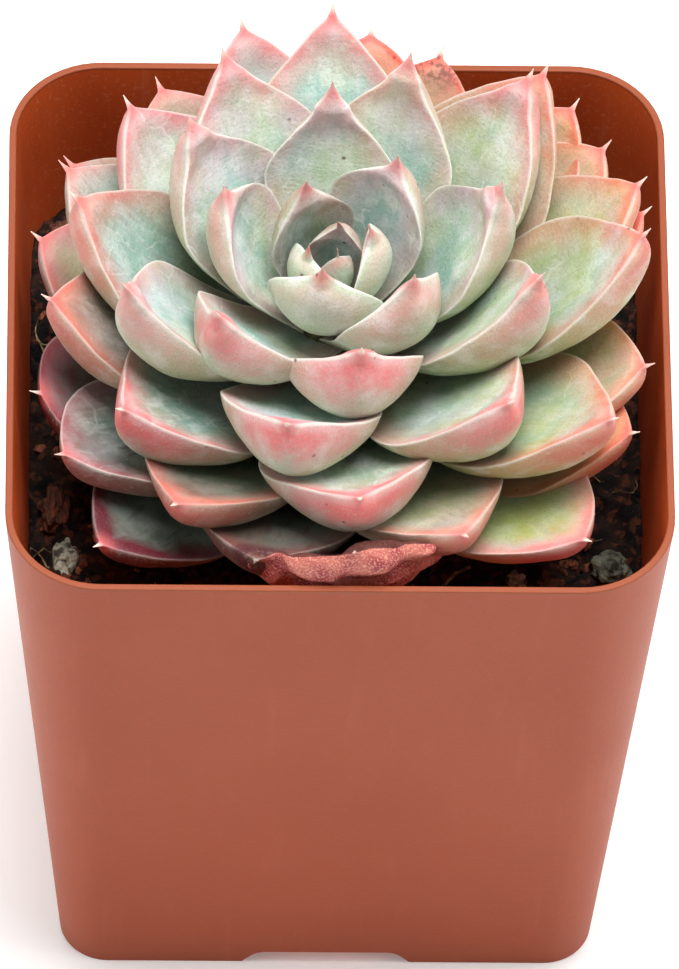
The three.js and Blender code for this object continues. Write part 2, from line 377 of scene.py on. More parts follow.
@dataclass(frozen=True)
class SoilFinish:
    """Dark potting soil: near black, with brown crumbs and pale dust."""

    name: str = "soil_crumb"
    dark: str = "#070505"
    brown: str = "#2c1b12"
    rust: str = "#63341f"
    dust: str = "#6f6652"
    lump_scale: float = 0.5
    rust_scale: float = 0.8
    crumb_scale: float = 0.9
    grit_scale: float = 4.0
    roughness: float = 0.85
    relief: float = 0.5
    specular: float = 0.3

    def material(self) -> bpy.types.Material:
        """Makes the material.

        Returns:
            The material.
        """
        sheet = NodeSheet(self.name)
        here = sheet.here()
        lumps = sheet.cloud(here, self.lump_scale, 5.0)
        crumbs = sheet.cells(here, self.crumb_scale)
        grit = sheet.cloud(here, self.grit_scale, 3.0)
        colour = sheet.blend(lumps.rise(0.4, 0.62), self.dark, self.brown)
        rust = sheet.cloud(here, self.rust_scale, 2.0).rise(0.52, 0.66)
        colour = sheet.blend(rust * 0.7, colour, self.rust)
        colour = sheet.blend(grit.rise(0.68, 0.8) * 0.35, colour, self.dust)
        height = crumbs * 0.6 + grit * 0.4
        roughness = self.roughness + grit * 0.1
        return sheet.finish(colour, roughness, height, self.relief, Specular_IOR_Level=self.specular)


@dataclass(frozen=True)
class StoneFinish:
    """A pale, pitted grain of perlite or pumice, dirty in its hollows."""

    name: str = "perlite_stone"
    pale: str = "#c0c4ac"
    grey: str = "#6c705f"
    dirt: str = "#2a1f18"
    cloud_scale: float = 0.7
    dirt_scale: float = 0.9
    pit_scale: float = 2.4
    roughness: float = 0.8
    relief: float = 0.25

    def material(self) -> bpy.types.Material:
        """Makes the material.

        Returns:
            The material.
        """
        sheet = NodeSheet(self.name)
        here = sheet.here()
        cloud = sheet.cloud(here, self.cloud_scale, 4.0)
        pits = sheet.cells(here, self.pit_scale)
        colour = sheet.blend(cloud.rise(0.4, 0.65), self.pale, self.grey)
        dirt = sheet.cloud(here, self.dirt_scale).rise(0.5, 0.62)
        colour = sheet.blend(dirt * 0.85, colour, self.dirt)
        height = pits * 0.7 + cloud * 0.3
        return sheet.finish(colour, self.roughness + cloud * 0.15, height, self.relief)


@dataclass(frozen=True)
class BarkFinish:
    """A chip of bark: layered along its length, rust brown with dark cracks."""

    name: str = "bark_chip"
    rust: str = "#7a4228"
    brown: str = "#3d2317"
    crack: str = "#150c08"
    layer_stretch: tuple[float, float, float] = (2.2, 0.5, 2.6)
    layer_scale: float = 0.8
    fibre_stretch: tuple[float, float, float] = (5.0, 0.7, 5.0)
    fibre_scale: float = 0.9
    roughness: float = 0.75
    relief: float = 0.4

    def material(self) -> bpy.types.Material:
        """Makes the material.

        Returns:
            The material.
        """
        sheet = NodeSheet(self.name)
        here = sheet.here()
        layers = sheet.cloud(sheet.stretch(here, self.layer_stretch), self.layer_scale, 4.0)
        fibres = sheet.cloud(sheet.stretch(here, self.fibre_stretch), self.fibre_scale)
        colour = sheet.blend(layers.rise(0.35, 0.65), self.brown, self.rust)
        colour = sheet.blend(fibres.rise(0.5, 0.34) * 0.8, colour, self.crack)
        height = layers * 0.6 + fibres * 0.4
        return sheet.finish(colour, self.roughness + layers * 0.2, height, self.relief)


@dataclass(frozen=True)
class LeafFinish:
    """A leaf's skin: powdery green above, a pale belly, a blushing margin and a red point with a cream tip.

    The mesh carries what the pattern follows: place, edge and point in millimetres, upper, which is 1 on the
    upper face, warmth, the leaf's own blush, plum and ember, green, its own lime, its dull dark green, which
    is partly painted shade, and its powder, and state, its flush, its scar and how far it has withered.
    """

    name: str = "leaf_skin"
    sage: str = "#c0d2b6"
    teal: str = "#a2c8c0"
    # A dark green: painted shade towards each leaf's foot, and the dark grain of the skin.
    foot: str = "#62795a"
    lime: str = "#aab558"
    # A dull dark green: partly the older leaves' own tone, partly painted shade on the leaves of the left and
    # front and round the bud.
    dull_green_and_shade: str = "#3c4a42"
    powder: str = "#e8eae6"
    lilac: str = "#cfc3d3"
    belly: str = "#b6cdb0"
    belly_pale: str = "#cfdccb"
    # The pale margin line: partly the leaf's own pale edge, partly a painted highlight along it.
    margin: str = "#e4e6dc"
    rose: str = "#e4949c"
    coral: str = "#e0474a"
    plum: str = "#641c2c"
    wine: str = "#5c1024"
    amber: str = "#e08d66"
    rust: str = "#d0432c"
    cream: str = "#f6e9da"
    thorn: str = "#e0716f"
    speck: str = "#4a1c24"
    husk: str = "#c06a5e"
    husk_red: str = "#9e3a42"
    husk_pale: str = "#dd9c86"
    # Partly the dry leaf's own dark colour, partly painted shade in its curled hollow.
    husk_dark_and_shade: str = "#2c1614"
    broad_scale: float = 0.11
    belly_scale: float = 0.14
    speckled_scale: float = 0.16
    lilac_scale: float = 0.17
    scratch_scale: float = 0.2
    scratched_scale: float = 0.21
    patch_scale: float = 0.4
    speck_scale: float = 0.42
    drawn_scale: float = 0.9
    drawn_stretch: tuple[float, float, float] = (1.0, 0.22, 1.0)
    fine_scale: float = 2.4
    grain_scale: float = 5.0
    uneven_edge: float = 3.4
    uneven_point: float = 9.0
    pale_edge_and_highlight: float = 0.4
    thorn_length: float = 3.6
    cream_length: float = 1.7
    scar_length: float = 6.0
    roughness: float = 0.46
    relief: float = 0.14
    specular: float = 0.4

    def material(self) -> bpy.types.Material:
        """Makes the material.

        Returns:
            The material.
        """
        sheet = NodeSheet(self.name)
        place = sheet.attribute("place", "Vector")
        edge, point, upper = (sheet.attribute(name) for name in ("edge", "point", "upper"))
        blush, plum, ember = (sheet.part(sheet.attribute("warmth", "Vector"), axis) for axis in range(3))
        flush, scar, dry = (sheet.part(sheet.attribute("state", "Vector"), axis) for axis in range(3))
        middle = sheet.cloud(place, self.patch_scale)
        fine = sheet.cloud(place, self.fine_scale, 2.0)
        grain = sheet.cloud(place, self.grain_scale, 2.0)
        uneven_edge = edge + (middle - 0.5) * self.uneven_edge
        uneven_point = point + (middle - 0.5) * self.uneven_point
        rose = sheet.blend(ember, sheet.blend(plum, self.rose, self.plum), self.amber)
        hot = sheet.blend(ember, sheet.blend(plum, self.coral, self.wine), self.rust)
        above = self.upper_face(sheet, place, middle, fine)
        wash = uneven_edge.rise(5.0, 0.5) * 0.55 + uneven_point.rise(11.0, 3.0) * 0.3
        wash = wash * (0.25 + blush * 0.75) * (plum * 0.6 + 1.0)
        above = sheet.blend(wash, above, rose)
        above = sheet.blend(flush * (0.3 + middle.rise(0.38, 0.62) * 0.6), above, rose)
        line = uneven_edge.rise(1.9, 0.2) * uneven_point.rise(18.0, 3.0) * blush * (0.4 + fine * 0.9)
        above = sheet.blend(line * (0.5 + flush * 0.5), above, hot)
        below = self.lower_face(sheet, place, middle, point)
        wash = uneven_edge.rise(8.0, 1.5) * uneven_point.rise(20.0, 5.0) * (0.05 + blush * 0.95)
        below = sheet.blend(wash * 0.8, below, rose)
        below = sheet.blend(flush * 0.75, below, rose)
        core = edge.rise(0.2, 1.6) * uneven_edge.rise(6.5, 1.8) * uneven_point.rise(13.0, 2.5)
        below = sheet.blend(core * (0.2 + blush * 0.8) * (fine * 0.8 + grain - 0.25), below, hot)
        below = sheet.blend(plum * uneven_edge.rise(10.0, 3.0) * 0.55, below, self.wine)
        below = sheet.blend(fine.rise(0.54, 0.7) * 0.22, below, self.belly_pale)
        colour = sheet.blend(upper, below, above)
        colour = sheet.blend(grain.rise(0.48, 0.34) * 0.25, colour, self.foot)
        powder = sheet.part(sheet.attribute("green", "Vector"), 2)
        # A pale line along the margin: partly the leaf's own pale edge, partly a painted highlight.
        colour = sheet.blend(edge.rise(self.pale_edge_and_highlight, 0.1) * (0.15 + powder * 0.5), colour, self.margin)
        colour = sheet.blend(point.rise(self.thorn_length, 0.8) * (1 - scar) * 0.8, colour, self.thorn)
        colour = sheet.blend(point.rise(self.cream_length, 0.6) * (0.1 + blush * 0.8), colour, self.cream)
        spots = sheet.cells(place, self.speck_scale).rise(0.13, 0.05)
        spots = spots * sheet.cloud(place, self.speckled_scale, 1.0).rise(0.52, 0.62)
        colour = sheet.blend(spots * 0.75, colour, self.speck)
        torn = point.rise(self.scar_length, self.scar_length / 2) * scar
        torn = torn * (middle * 0.6 + fine * 0.4).rise(0.4, 0.56)
        colour = sheet.blend(torn * 0.85, colour, self.speck)
        husk = sheet.blend(middle.rise(0.4, 0.6), self.husk, self.husk_red)
        husk = sheet.blend(grain.rise(0.48, 0.62) * 0.7, husk, self.husk_pale)
        # The withered leaf's upper face goes dark: partly its own dry colour, partly painted shade in its
        # curled hollow.
        husk = sheet.blend(upper * 0.8, husk, self.husk_dark_and_shade)
        colour = sheet.blend(dry * point.rise(0.6, 1.4), colour, husk)
        scratch = sheet.cracks(sheet.shift(place, middle * 3.0), self.scratch_scale).rise(0.04, 0.0)
        scratch = scratch * sheet.cloud(place, self.scratched_scale, 2.0).rise(0.52, 0.64) * upper * powder
        colour = sheet.blend(scratch * 0.5, colour, self.powder)
        roughness = self.roughness + middle * 0.2 + fine * 0.1
        height = fine * (0.5 + dry * 0.5)
        return sheet.finish(colour, roughness, height, self.relief, Specular_IOR_Level=self.specular)

    def upper_face(self, sheet: NodeSheet, place: Wire, middle: Wire, fine: Wire) -> Wire:
        """Colours the hollow upper face, without its blush.

        Args:
            sheet: The finish's nodes.
            place: The place on the leaf.
            middle: A noise of patches.
            fine: A noise of grains.

        Returns:
            The colour.
        """
        lime, dull_green_and_shade, powder = (sheet.part(sheet.attribute("green", "Vector"), axis) for axis in range(3))
        point = sheet.attribute("point")
        broad = sheet.cloud(place, self.broad_scale, 2.0)
        drawn = sheet.cloud(sheet.stretch(place, self.drawn_stretch), self.drawn_scale)
        colour = sheet.blend(broad.rise(0.38, 0.62), self.sage, self.teal)
        colour = sheet.blend(lime * (0.4 + broad.rise(0.62, 0.4) * 0.6), colour, self.lime)
        # The dull dark green: partly the leaf's own tone, partly painted shade.
        colour = sheet.blend(dull_green_and_shade * (0.75 + broad.rise(0.65, 0.4) * 0.22), colour, self.dull_green_and_shade)
        # Painted shade: the upper face darkens towards the leaf's foot, where the leaves crowd.
        colour = sheet.blend(point.rise(8.0, 20.0) * (0.8 - powder * 0.4), colour, self.foot)
        bloom = (drawn * 0.45 + middle * 0.55).rise(0.41, 0.6) * (0.35 + point.rise(17.0, 4.0) * 0.65)
        colour = sheet.blend(bloom * (0.12 + powder * 0.8), colour, self.powder)
        lilac = sheet.cloud(place, self.lilac_scale, 2.0).rise(0.45, 0.65)
        colour = sheet.blend(lilac * powder * 0.5, colour, self.lilac)
        colour = sheet.blend(fine.rise(0.54, 0.74) * (0.05 + powder * 0.15), colour, self.powder)
        colour = sheet.blend(drawn.rise(0.55, 0.68) * (0.1 + dull_green_and_shade * 0.5), colour, self.dull_green_and_shade)
        return sheet.blend(fine.rise(0.46, 0.28) * (0.1 + dull_green_and_shade * 0.3), colour, self.foot)

    def lower_face(self, sheet: NodeSheet, place: Wire, middle: Wire, point: Wire) -> Wire:
        """Colours the full lower face, without its blush.

        Args:
            sheet: The finish's nodes.
            place: The place on the leaf.
            middle: A noise of patches.
            point: The distance from the point.

        Returns:
            The colour.
        """
        lime, dull_green_and_shade = (sheet.part(sheet.attribute("green", "Vector"), axis) for axis in range(2))
        pale = sheet.cloud(place, self.belly_scale, 2.0).rise(0.38, 0.62)
        colour = sheet.blend(pale * 0.7, self.belly, self.belly_pale)
        colour = sheet.blend(lime * 0.45 + point.rise(5.0, 14.0) * 0.3, colour, self.lime)
        # The dull dark green: partly the leaf's own tone, partly painted shade.
        colour = sheet.blend(dull_green_and_shade * 0.45, colour, self.dull_green_and_shade)
        # Painted shade: the belly darkens towards the leaf's foot.
        colour = sheet.blend(point.rise(11.0, 22.0) * 0.5, colour, self.foot)
        return sheet.blend(middle.rise(0.48, 0.66) * 0.4, colour, self.powder)


@dataclass(frozen=True)
class FloorFinish:
    """The studio's pale sweep."""

    name: str = "studio_floor"
    pale: str = "#fbfbfa"
    soft: str = "#f7f7f6"
    glow: float = 0.14
    cloud_scale: float = 0.004
    roughness: float = 0.9
    relief: float = 0.01
    specular: float = 0.1

    def material(self) -> bpy.types.Material:
        """Makes the material.

        Returns:
            The material.
        """
        sheet = NodeSheet(self.name)
        cloud = sheet.cloud(sheet.here(), self.cloud_scale, 2.0)
        colour = sheet.blend(cloud, self.pale, self.soft)
        fixed = {"Emission_Color": linear(self.pale), "Emission_Strength": self.glow,
                 "Specular_IOR_Level": self.specular}
        return sheet.finish(colour, self.roughness, cloud, self.relief, **fixed)


def piece(name: str, form: bmesh.types.BMesh, material: bpy.types.Material,
          nodes: Iterable[str] = (), crease: float | None = None) -> bpy.types.Object:
    """Turns a bmesh in millimetres into a piece of the plant, which rides on the pot's body.

    Args:
        name: The piece's name.
        form: Its mesh, in millimetres. It is freed.
        material: Its finish.
        nodes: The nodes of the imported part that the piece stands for.
        crease: The angle in degrees past which an edge stays sharp, or None where every edge is smooth.

    Returns:
        The piece.
    """
    bmesh.ops.scale(form, vec=(MM, MM, MM), verts=form.verts)
    limit = math.pi if crease is None else math.radians(crease)
    for face in form.faces:
        face.smooth = True
    for edge in form.edges:
        edge.smooth = edge.calc_face_angle(0.0) < limit
    mesh = bpy.data.meshes.new(name)
    form.to_mesh(mesh)
    form.free()
    mesh.materials.append(material)
    made = bpy.data.objects.new(name, mesh)
    bpy.context.scene.collection.objects.link(made)
    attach(made, BODY)
    if nodes:
        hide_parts(*nodes)
    LOG.info("%s: %d faces", name, len(mesh.polygons))
    return made


def tube(form: bmesh.types.BMesh, stations: Sequence[tuple[Vector, float]], sides: int) -> None:
    """Adds a round, closed tube to a mesh.

    Args:
        form: The mesh.
        stations: The places that the tube runs through, each with its radius there.
        sides: How many sides it has.
    """
    places = [place for place, _ in stations]
    rings = []
    for number, (place, radius) in enumerate(stations):
        before, after = places[max(0, number - 1)], places[min(len(places) - 1, number + 1)]
        turn = (after - before).to_track_quat("Z", "Y").to_matrix().to_4x4()
        ring = bmesh.ops.create_circle(form, segments=sides, radius=radius,
                                       matrix=Matrix.Translation(place) @ turn)["verts"]
        rings.append(list({edge for vert in ring for edge in vert.link_edges}))
    for low, high in zip(rings, rings[1:]):
        bmesh.ops.bridge_loops(form, edges=low + high)
    for ring in (rings[0], rings[-1]):
        bmesh.ops.contextual_create(form, geom=ring)


@dataclass
class NurseryPot:
    """The square pot of thin plastic, with round corners, four feet and five drain holes."""

    height: float = 77.0
    rim_side: float = 70.0
    base_side: float = 58.0
    rim_corner: float = 10.0
    base_corner: float = 5.3
    wall: float = 0.8
    foot_height: float = 2.0
    notch_width: float = 15.0
    notch_flare: float = 1.6
    notch_corner: float = 0.9
    notch_steps: int = 5
    bar_overrun: float = 10.0
    drain_diameter: float = 7.0
    drain_offset: float = 15.0
    drain_steps: int = 40
    corner_steps: int = 14
    hair: float = 0.01
    weld: float = 0.001
    sharp_angle: float = 28.0
    edge_angle: float = 40.0
    edge_round: float = 0.22
    edge_steps: int = 3
    finish: PlasticFinish = field(default_factory=PlasticFinish)
    # A brighter copy of the plastic, with paler specks, for the inner walls: painted light on the inside of
    # the pot.
    inner_lit_finish: PlasticFinish = field(default_factory=lambda: PlasticFinish(
        name="pot_plastic_inside_lit", body="#d8602c", shade="#c44c1e", pale="#eb9d78", fleck="#8a3a1c",
        speckle=0.3))

    def half(self, z: float, inset: float = 0.0) -> float:
        """Gives half the pot's side at a height, drawn in by an inset."""
        return mix(self.base_side, self.rim_side, z / self.height) / 2 - inset

    def corner(self, z: float, inset: float = 0.0) -> float:
        """Gives the radius of the pot's corners at a height, drawn in by an inset."""
        return mix(self.base_corner, self.rim_corner, z / self.height) - inset

    def ring(self, form: bmesh.types.BMesh, z: float, inset: float) -> list[bmesh.types.BMEdge]:
        """Adds a square with round corners at a height, drawn in by an inset.

        Args:
            form: The mesh that it is added to.
            z: The height.
            inset: How far it is drawn in.

        Returns:
            Its edges.
        """
        before = set(form.edges)
        made = bmesh.ops.create_grid(form, x_segments=1, y_segments=1, size=self.half(z, inset))
        bmesh.ops.translate(form, vec=(0, 0, z), verts=made["verts"])
        bmesh.ops.bevel(form, geom=made["verts"], offset=self.corner(z, inset), offset_type="OFFSET",
                        affect="VERTICES", segments=self.corner_steps, profile=0.5, material=-1)
        return [edge for edge in form.edges if edge not in before]

    def body(self, low: float, high: float, inset: float) -> bmesh.types.BMesh:
        """Makes the closed space within the pot's outer form between two heights.

        Args:
            low: The lower height.
            high: The upper height.
            inset: How far the space is drawn in from the outer form.

        Returns:
            The space, as a solid form.
        """
        form = bmesh.new()
        rings = [self.ring(form, z, inset) for z in (low, high)]
        bmesh.ops.delete(form, geom=form.faces[:], context="FACES_ONLY")
        bmesh.ops.bridge_loops(form, edges=rings[0] + rings[1])
        for edges in rings:
            bmesh.ops.contextual_create(form, geom=edges)
        bmesh.ops.recalc_face_normals(form, faces=form.faces)
        return form

    def cross_bar(self, width: float, height: float) -> bmesh.types.BMesh:
        """Makes one bar of the channel that parts the feet: wider at the ground, its upper edges rounded.

        Args:
            width: Its width above.
            height: Its height.

        Returns:
            The bar, along Y.
        """
        form = bmesh.new()
        bmesh.ops.create_cube(form, size=1.0)
        length = self.rim_side + self.bar_overrun
        for vert in form.verts:
            reach, z = width / 2, height
            if vert.co.z < 0:
                reach, z = reach + self.notch_flare, -self.hair
            vert.co = Vector((math.copysign(reach, vert.co.x), vert.co.y * length, z))
        upper = []
        for edge in form.edges:
            first, second = (vert.co for vert in edge.verts)
            if min(first.z, second.z) > 0 and abs(first.y - second.y) > length / 2:
                upper.append(edge)
        bmesh.ops.bevel(form, geom=upper, offset=self.notch_corner, offset_type="OFFSET", affect="EDGES",
                        segments=self.notch_steps, profile=0.5, material=-1)
        return form

    def cross_bars(self, width: float, height: float) -> list[bmesh.types.BMesh]:
        """Makes the channel's two bars, one along each side of the pot."""
        return [self.turned(self.cross_bar(width, height), turn) for turn in (0, 90)]

    def drain(self, x: float, y: float) -> bmesh.types.BMesh:
        """Makes the round cutter of a drain hole.

        Args:
            x: The hole's place across the pot.
            y: Its place along the pot.

        Returns:
            The cutter.
        """
        form = bmesh.new()
        radius = self.drain_diameter / 2
        bmesh.ops.create_cone(form, cap_ends=True, segments=self.drain_steps, radius1=radius, radius2=radius,
                              depth=4 * self.wall)
        bmesh.ops.translate(form, vec=(x, y, self.foot_height + self.wall / 2), verts=form.verts)
        return form

    def cut(self, base: bmesh.types.BMesh, cutters: Sequence[bmesh.types.BMesh]) -> bmesh.types.BMesh:
        """Cuts forms out of a form.

        Args:
            base: What is cut. It is freed.
            cutters: What is taken out of it. They are freed.

        Returns:
            What is left.
        """
        objects = []
        for number, form in enumerate([base, *cutters]):
            mesh = bpy.data.meshes.new(f"cut_{number}")
            form.to_mesh(mesh)
            form.free()
            made = bpy.data.objects.new(f"cut_{number}", mesh)
            bpy.context.scene.collection.objects.link(made)
            objects.append(made)
        for cutter in objects[1:]:
            modifier = objects[0].modifiers.new("cut", "BOOLEAN")
            modifier.operation = "DIFFERENCE"
            modifier.solver = "EXACT"
            modifier.object = cutter
        bpy.context.view_layer.update()
        result = bmesh.new()
        evaluated = objects[0].evaluated_get(bpy.context.evaluated_depsgraph_get())
        result.from_mesh(evaluated.to_mesh())
        for made in objects:
            bpy.data.meshes.remove(made.data)
        return result

    def build(self) -> bpy.types.Object:
        """Makes the pot as one piece.

        Returns:
            The piece.
        """
        inner = self.cut(
            self.body(self.wall, self.height + self.wall, self.wall),
            self.cross_bars(self.notch_width + 2 * self.wall, self.foot_height + self.wall),
        )
        bars = self.cross_bars(self.notch_width, self.foot_height)
        spots = [(0, 0), (1, 0), (-1, 0), (0, 1), (0, -1)]
        drains = [self.drain(x * self.drain_offset, y * self.drain_offset) for x, y in spots]
        form = self.cut(self.body(0.0, self.height, 0.0), [inner, *bars, *drains])
        bmesh.ops.remove_doubles(form, verts=form.verts, dist=self.weld)
        bmesh.ops.dissolve_degenerate(form, dist=self.weld, edges=form.edges)
        made = piece("pot_shell", form, self.finish.material(), ["pot"], crease=self.sharp_angle)
        # The inward faces above the feet take the brighter copy: painted light on the inner walls.
        made.data.materials.append(self.inner_lit_finish.material())
        for face in made.data.polygons:
            inwards = face.normal.x * face.center.x + face.normal.y * face.center.y < 0
            face.material_index = int(inwards and face.center.z > self.foot_height * MM)
        rounding = made.modifiers.new("rounding", "BEVEL")
        rounding.width = self.edge_round * MM
        rounding.segments = self.edge_steps
        rounding.limit_method = "ANGLE"
        rounding.angle_limit = math.radians(self.edge_angle)
        rounding.harden_normals = False
        return made

    def turned(self, form: bmesh.types.BMesh, turn: float) -> bmesh.types.BMesh:
        """Turns a form about the pot's axis.

        Args:
            form: The form.
            turn: The turn, in degrees.

        Returns:
            The same form.
        """
        matrix = Matrix.Rotation(math.radians(turn), 3, "Z")
        bmesh.ops.rotate(form, cent=(0, 0, 0), matrix=matrix, verts=form.verts)
        return form


@dataclass
class SoilBed:
    """The soil that fills the pot, with its lumps and crumbs."""

    pot: NurseryPot
    level: float = 57.5
    lump: float = 0.8
    lump_length: float = 9.0
    edge_drop: float = 1.2
    crumb_relief: float = 0.9
    rough_scale: float = 0.45
    rough_fade: float = 0.7
    rough_step: float = 2.2
    rough_layers: int = 4
    grain_scale: float = 0.8
    wall_gap: float = 0.05
    cells: int = 120
    finish: SoilFinish = field(default_factory=SoilFinish)

    def height(self, x: float, y: float) -> float:
        """Gives the height of the soil's surface without its crumbs.

        Args:
            x: The place across the pot.
            y: The place along the pot.

        Returns:
            The height.
        """
        wave = 2 * math.pi / self.lump_length
        broad = math.sin(wave * x) * math.sin(wave * y)
        narrow = math.sin(wave * (2 * x + y)) * math.sin(wave * (2 * y - x))
        edge = max(abs(x), abs(y)) / (self.pot.rim_side / 2)
        return self.level + self.lump * (broad + narrow / 2) - self.edge_drop * edge ** 4

    def crumbs(self, x: float, y: float) -> float:
        """Gives how far the crumbs stand up or dip at a place.

        Args:
            x: The place across the pot.
            y: The place along the pot.

        Returns:
            The rise, which is below 0 in a dip.
        """
        place = Vector((x, y, 0.0))
        rough = noise.fractal(place * self.rough_scale, self.rough_fade, self.rough_step, self.rough_layers)
        grains = noise.voronoi(place * self.grain_scale)[0][0]
        return self.crumb_relief * (rough * 0.9 - grains * 0.8 + 0.3)

    def surface(self, x: float, y: float) -> float:
        """Gives the height of the soil's surface with its crumbs."""
        return self.height(x, y) + self.crumbs(x, y)

    def wall_place(self, x: float, y: float, z: float, inset: float) -> Vector:
        """Moves a place on a square of half side 1 to where it lies in the pot at a height.

        Args:
            x: Its place across the square, from -1 to 1.
            y: Its place along the square, from -1 to 1.
            z: The height.
            inset: How far in from the pot's outer face the square's border comes to lie.

        Returns:
            The place in the pot.
        """
        half, radius = self.pot.half(z, inset), self.pot.corner(z, inset)
        flat = half - radius
        reach = max(abs(x), abs(y), 1e-6)
        across, deep = abs(x) / reach * half, abs(y) / reach * half
        if across > flat and deep > flat:
            length = math.hypot(across, deep)
            unit = Vector((across / length, deep / length))
            towards = unit.dot(Vector((flat, flat)))
            length = towards + math.sqrt(max(0.0, towards ** 2 - 2 * flat ** 2 + radius ** 2))
            across, deep = unit.x * length, unit.y * length
        return Vector((math.copysign(across * reach, x), math.copysign(deep * reach, y), z))

    def build(self) -> list[bpy.types.Object]:
        """Makes the soil.

        Returns:
            The piece, in a list.
        """
        form = bmesh.new()
        bmesh.ops.create_grid(form, x_segments=self.cells, y_segments=self.cells, size=1.0)
        inset = self.pot.wall + self.wall_gap
        border = [e for e in form.edges if e.is_boundary]
        for vert in form.verts:
            spot = self.wall_place(vert.co.x, vert.co.y, self.level, inset)
            vert.co = Vector((spot.x, spot.y, self.surface(spot.x, spot.y)))
        skirt = bmesh.ops.extrude_edge_only(form, edges=border)["geom"]
        floor = self.pot.foot_height + self.pot.wall + FIT
        shrink = self.pot.half(floor, inset) / self.pot.half(self.level, inset)
        for vert in (g for g in skirt if isinstance(g, bmesh.types.BMVert)):
            vert.co = Vector((vert.co.x * shrink, vert.co.y * shrink, floor))
        foot = []
        for edge in (g for g in skirt if isinstance(g, bmesh.types.BMEdge)):
            if all(vert.co.z < floor + FIT for vert in edge.verts):
                foot.append(edge)
        bmesh.ops.contextual_create(form, geom=foot)
        bmesh.ops.recalc_face_normals(form, faces=form.faces)
        return [piece("soil_bed", form, self.finish.material(), ["soil"])]


@dataclass(frozen=True)
class FibreFinish:
    """Dead root and straw: dull tan, browner in places."""

    name: str = "root_fibre"
    tan: str = "#a8946c"
    brown: str = "#4a3424"
    patch_scale: float = 0.6
    grain_scale: float = 5.0
    roughness: float = 0.8
    relief: float = 0.05

    def material(self) -> bpy.types.Material:
        """Makes the material.

        Returns:
            The material.
        """
        sheet = NodeSheet(self.name)
        here = sheet.here()
        patch = sheet.cloud(here, self.patch_scale)
        colour = sheet.blend(patch.rise(0.4, 0.6), self.brown, self.tan)
        height = sheet.cloud(here, self.grain_scale)
        return sheet.finish(colour, self.roughness + patch * 0.1, height, self.relief)


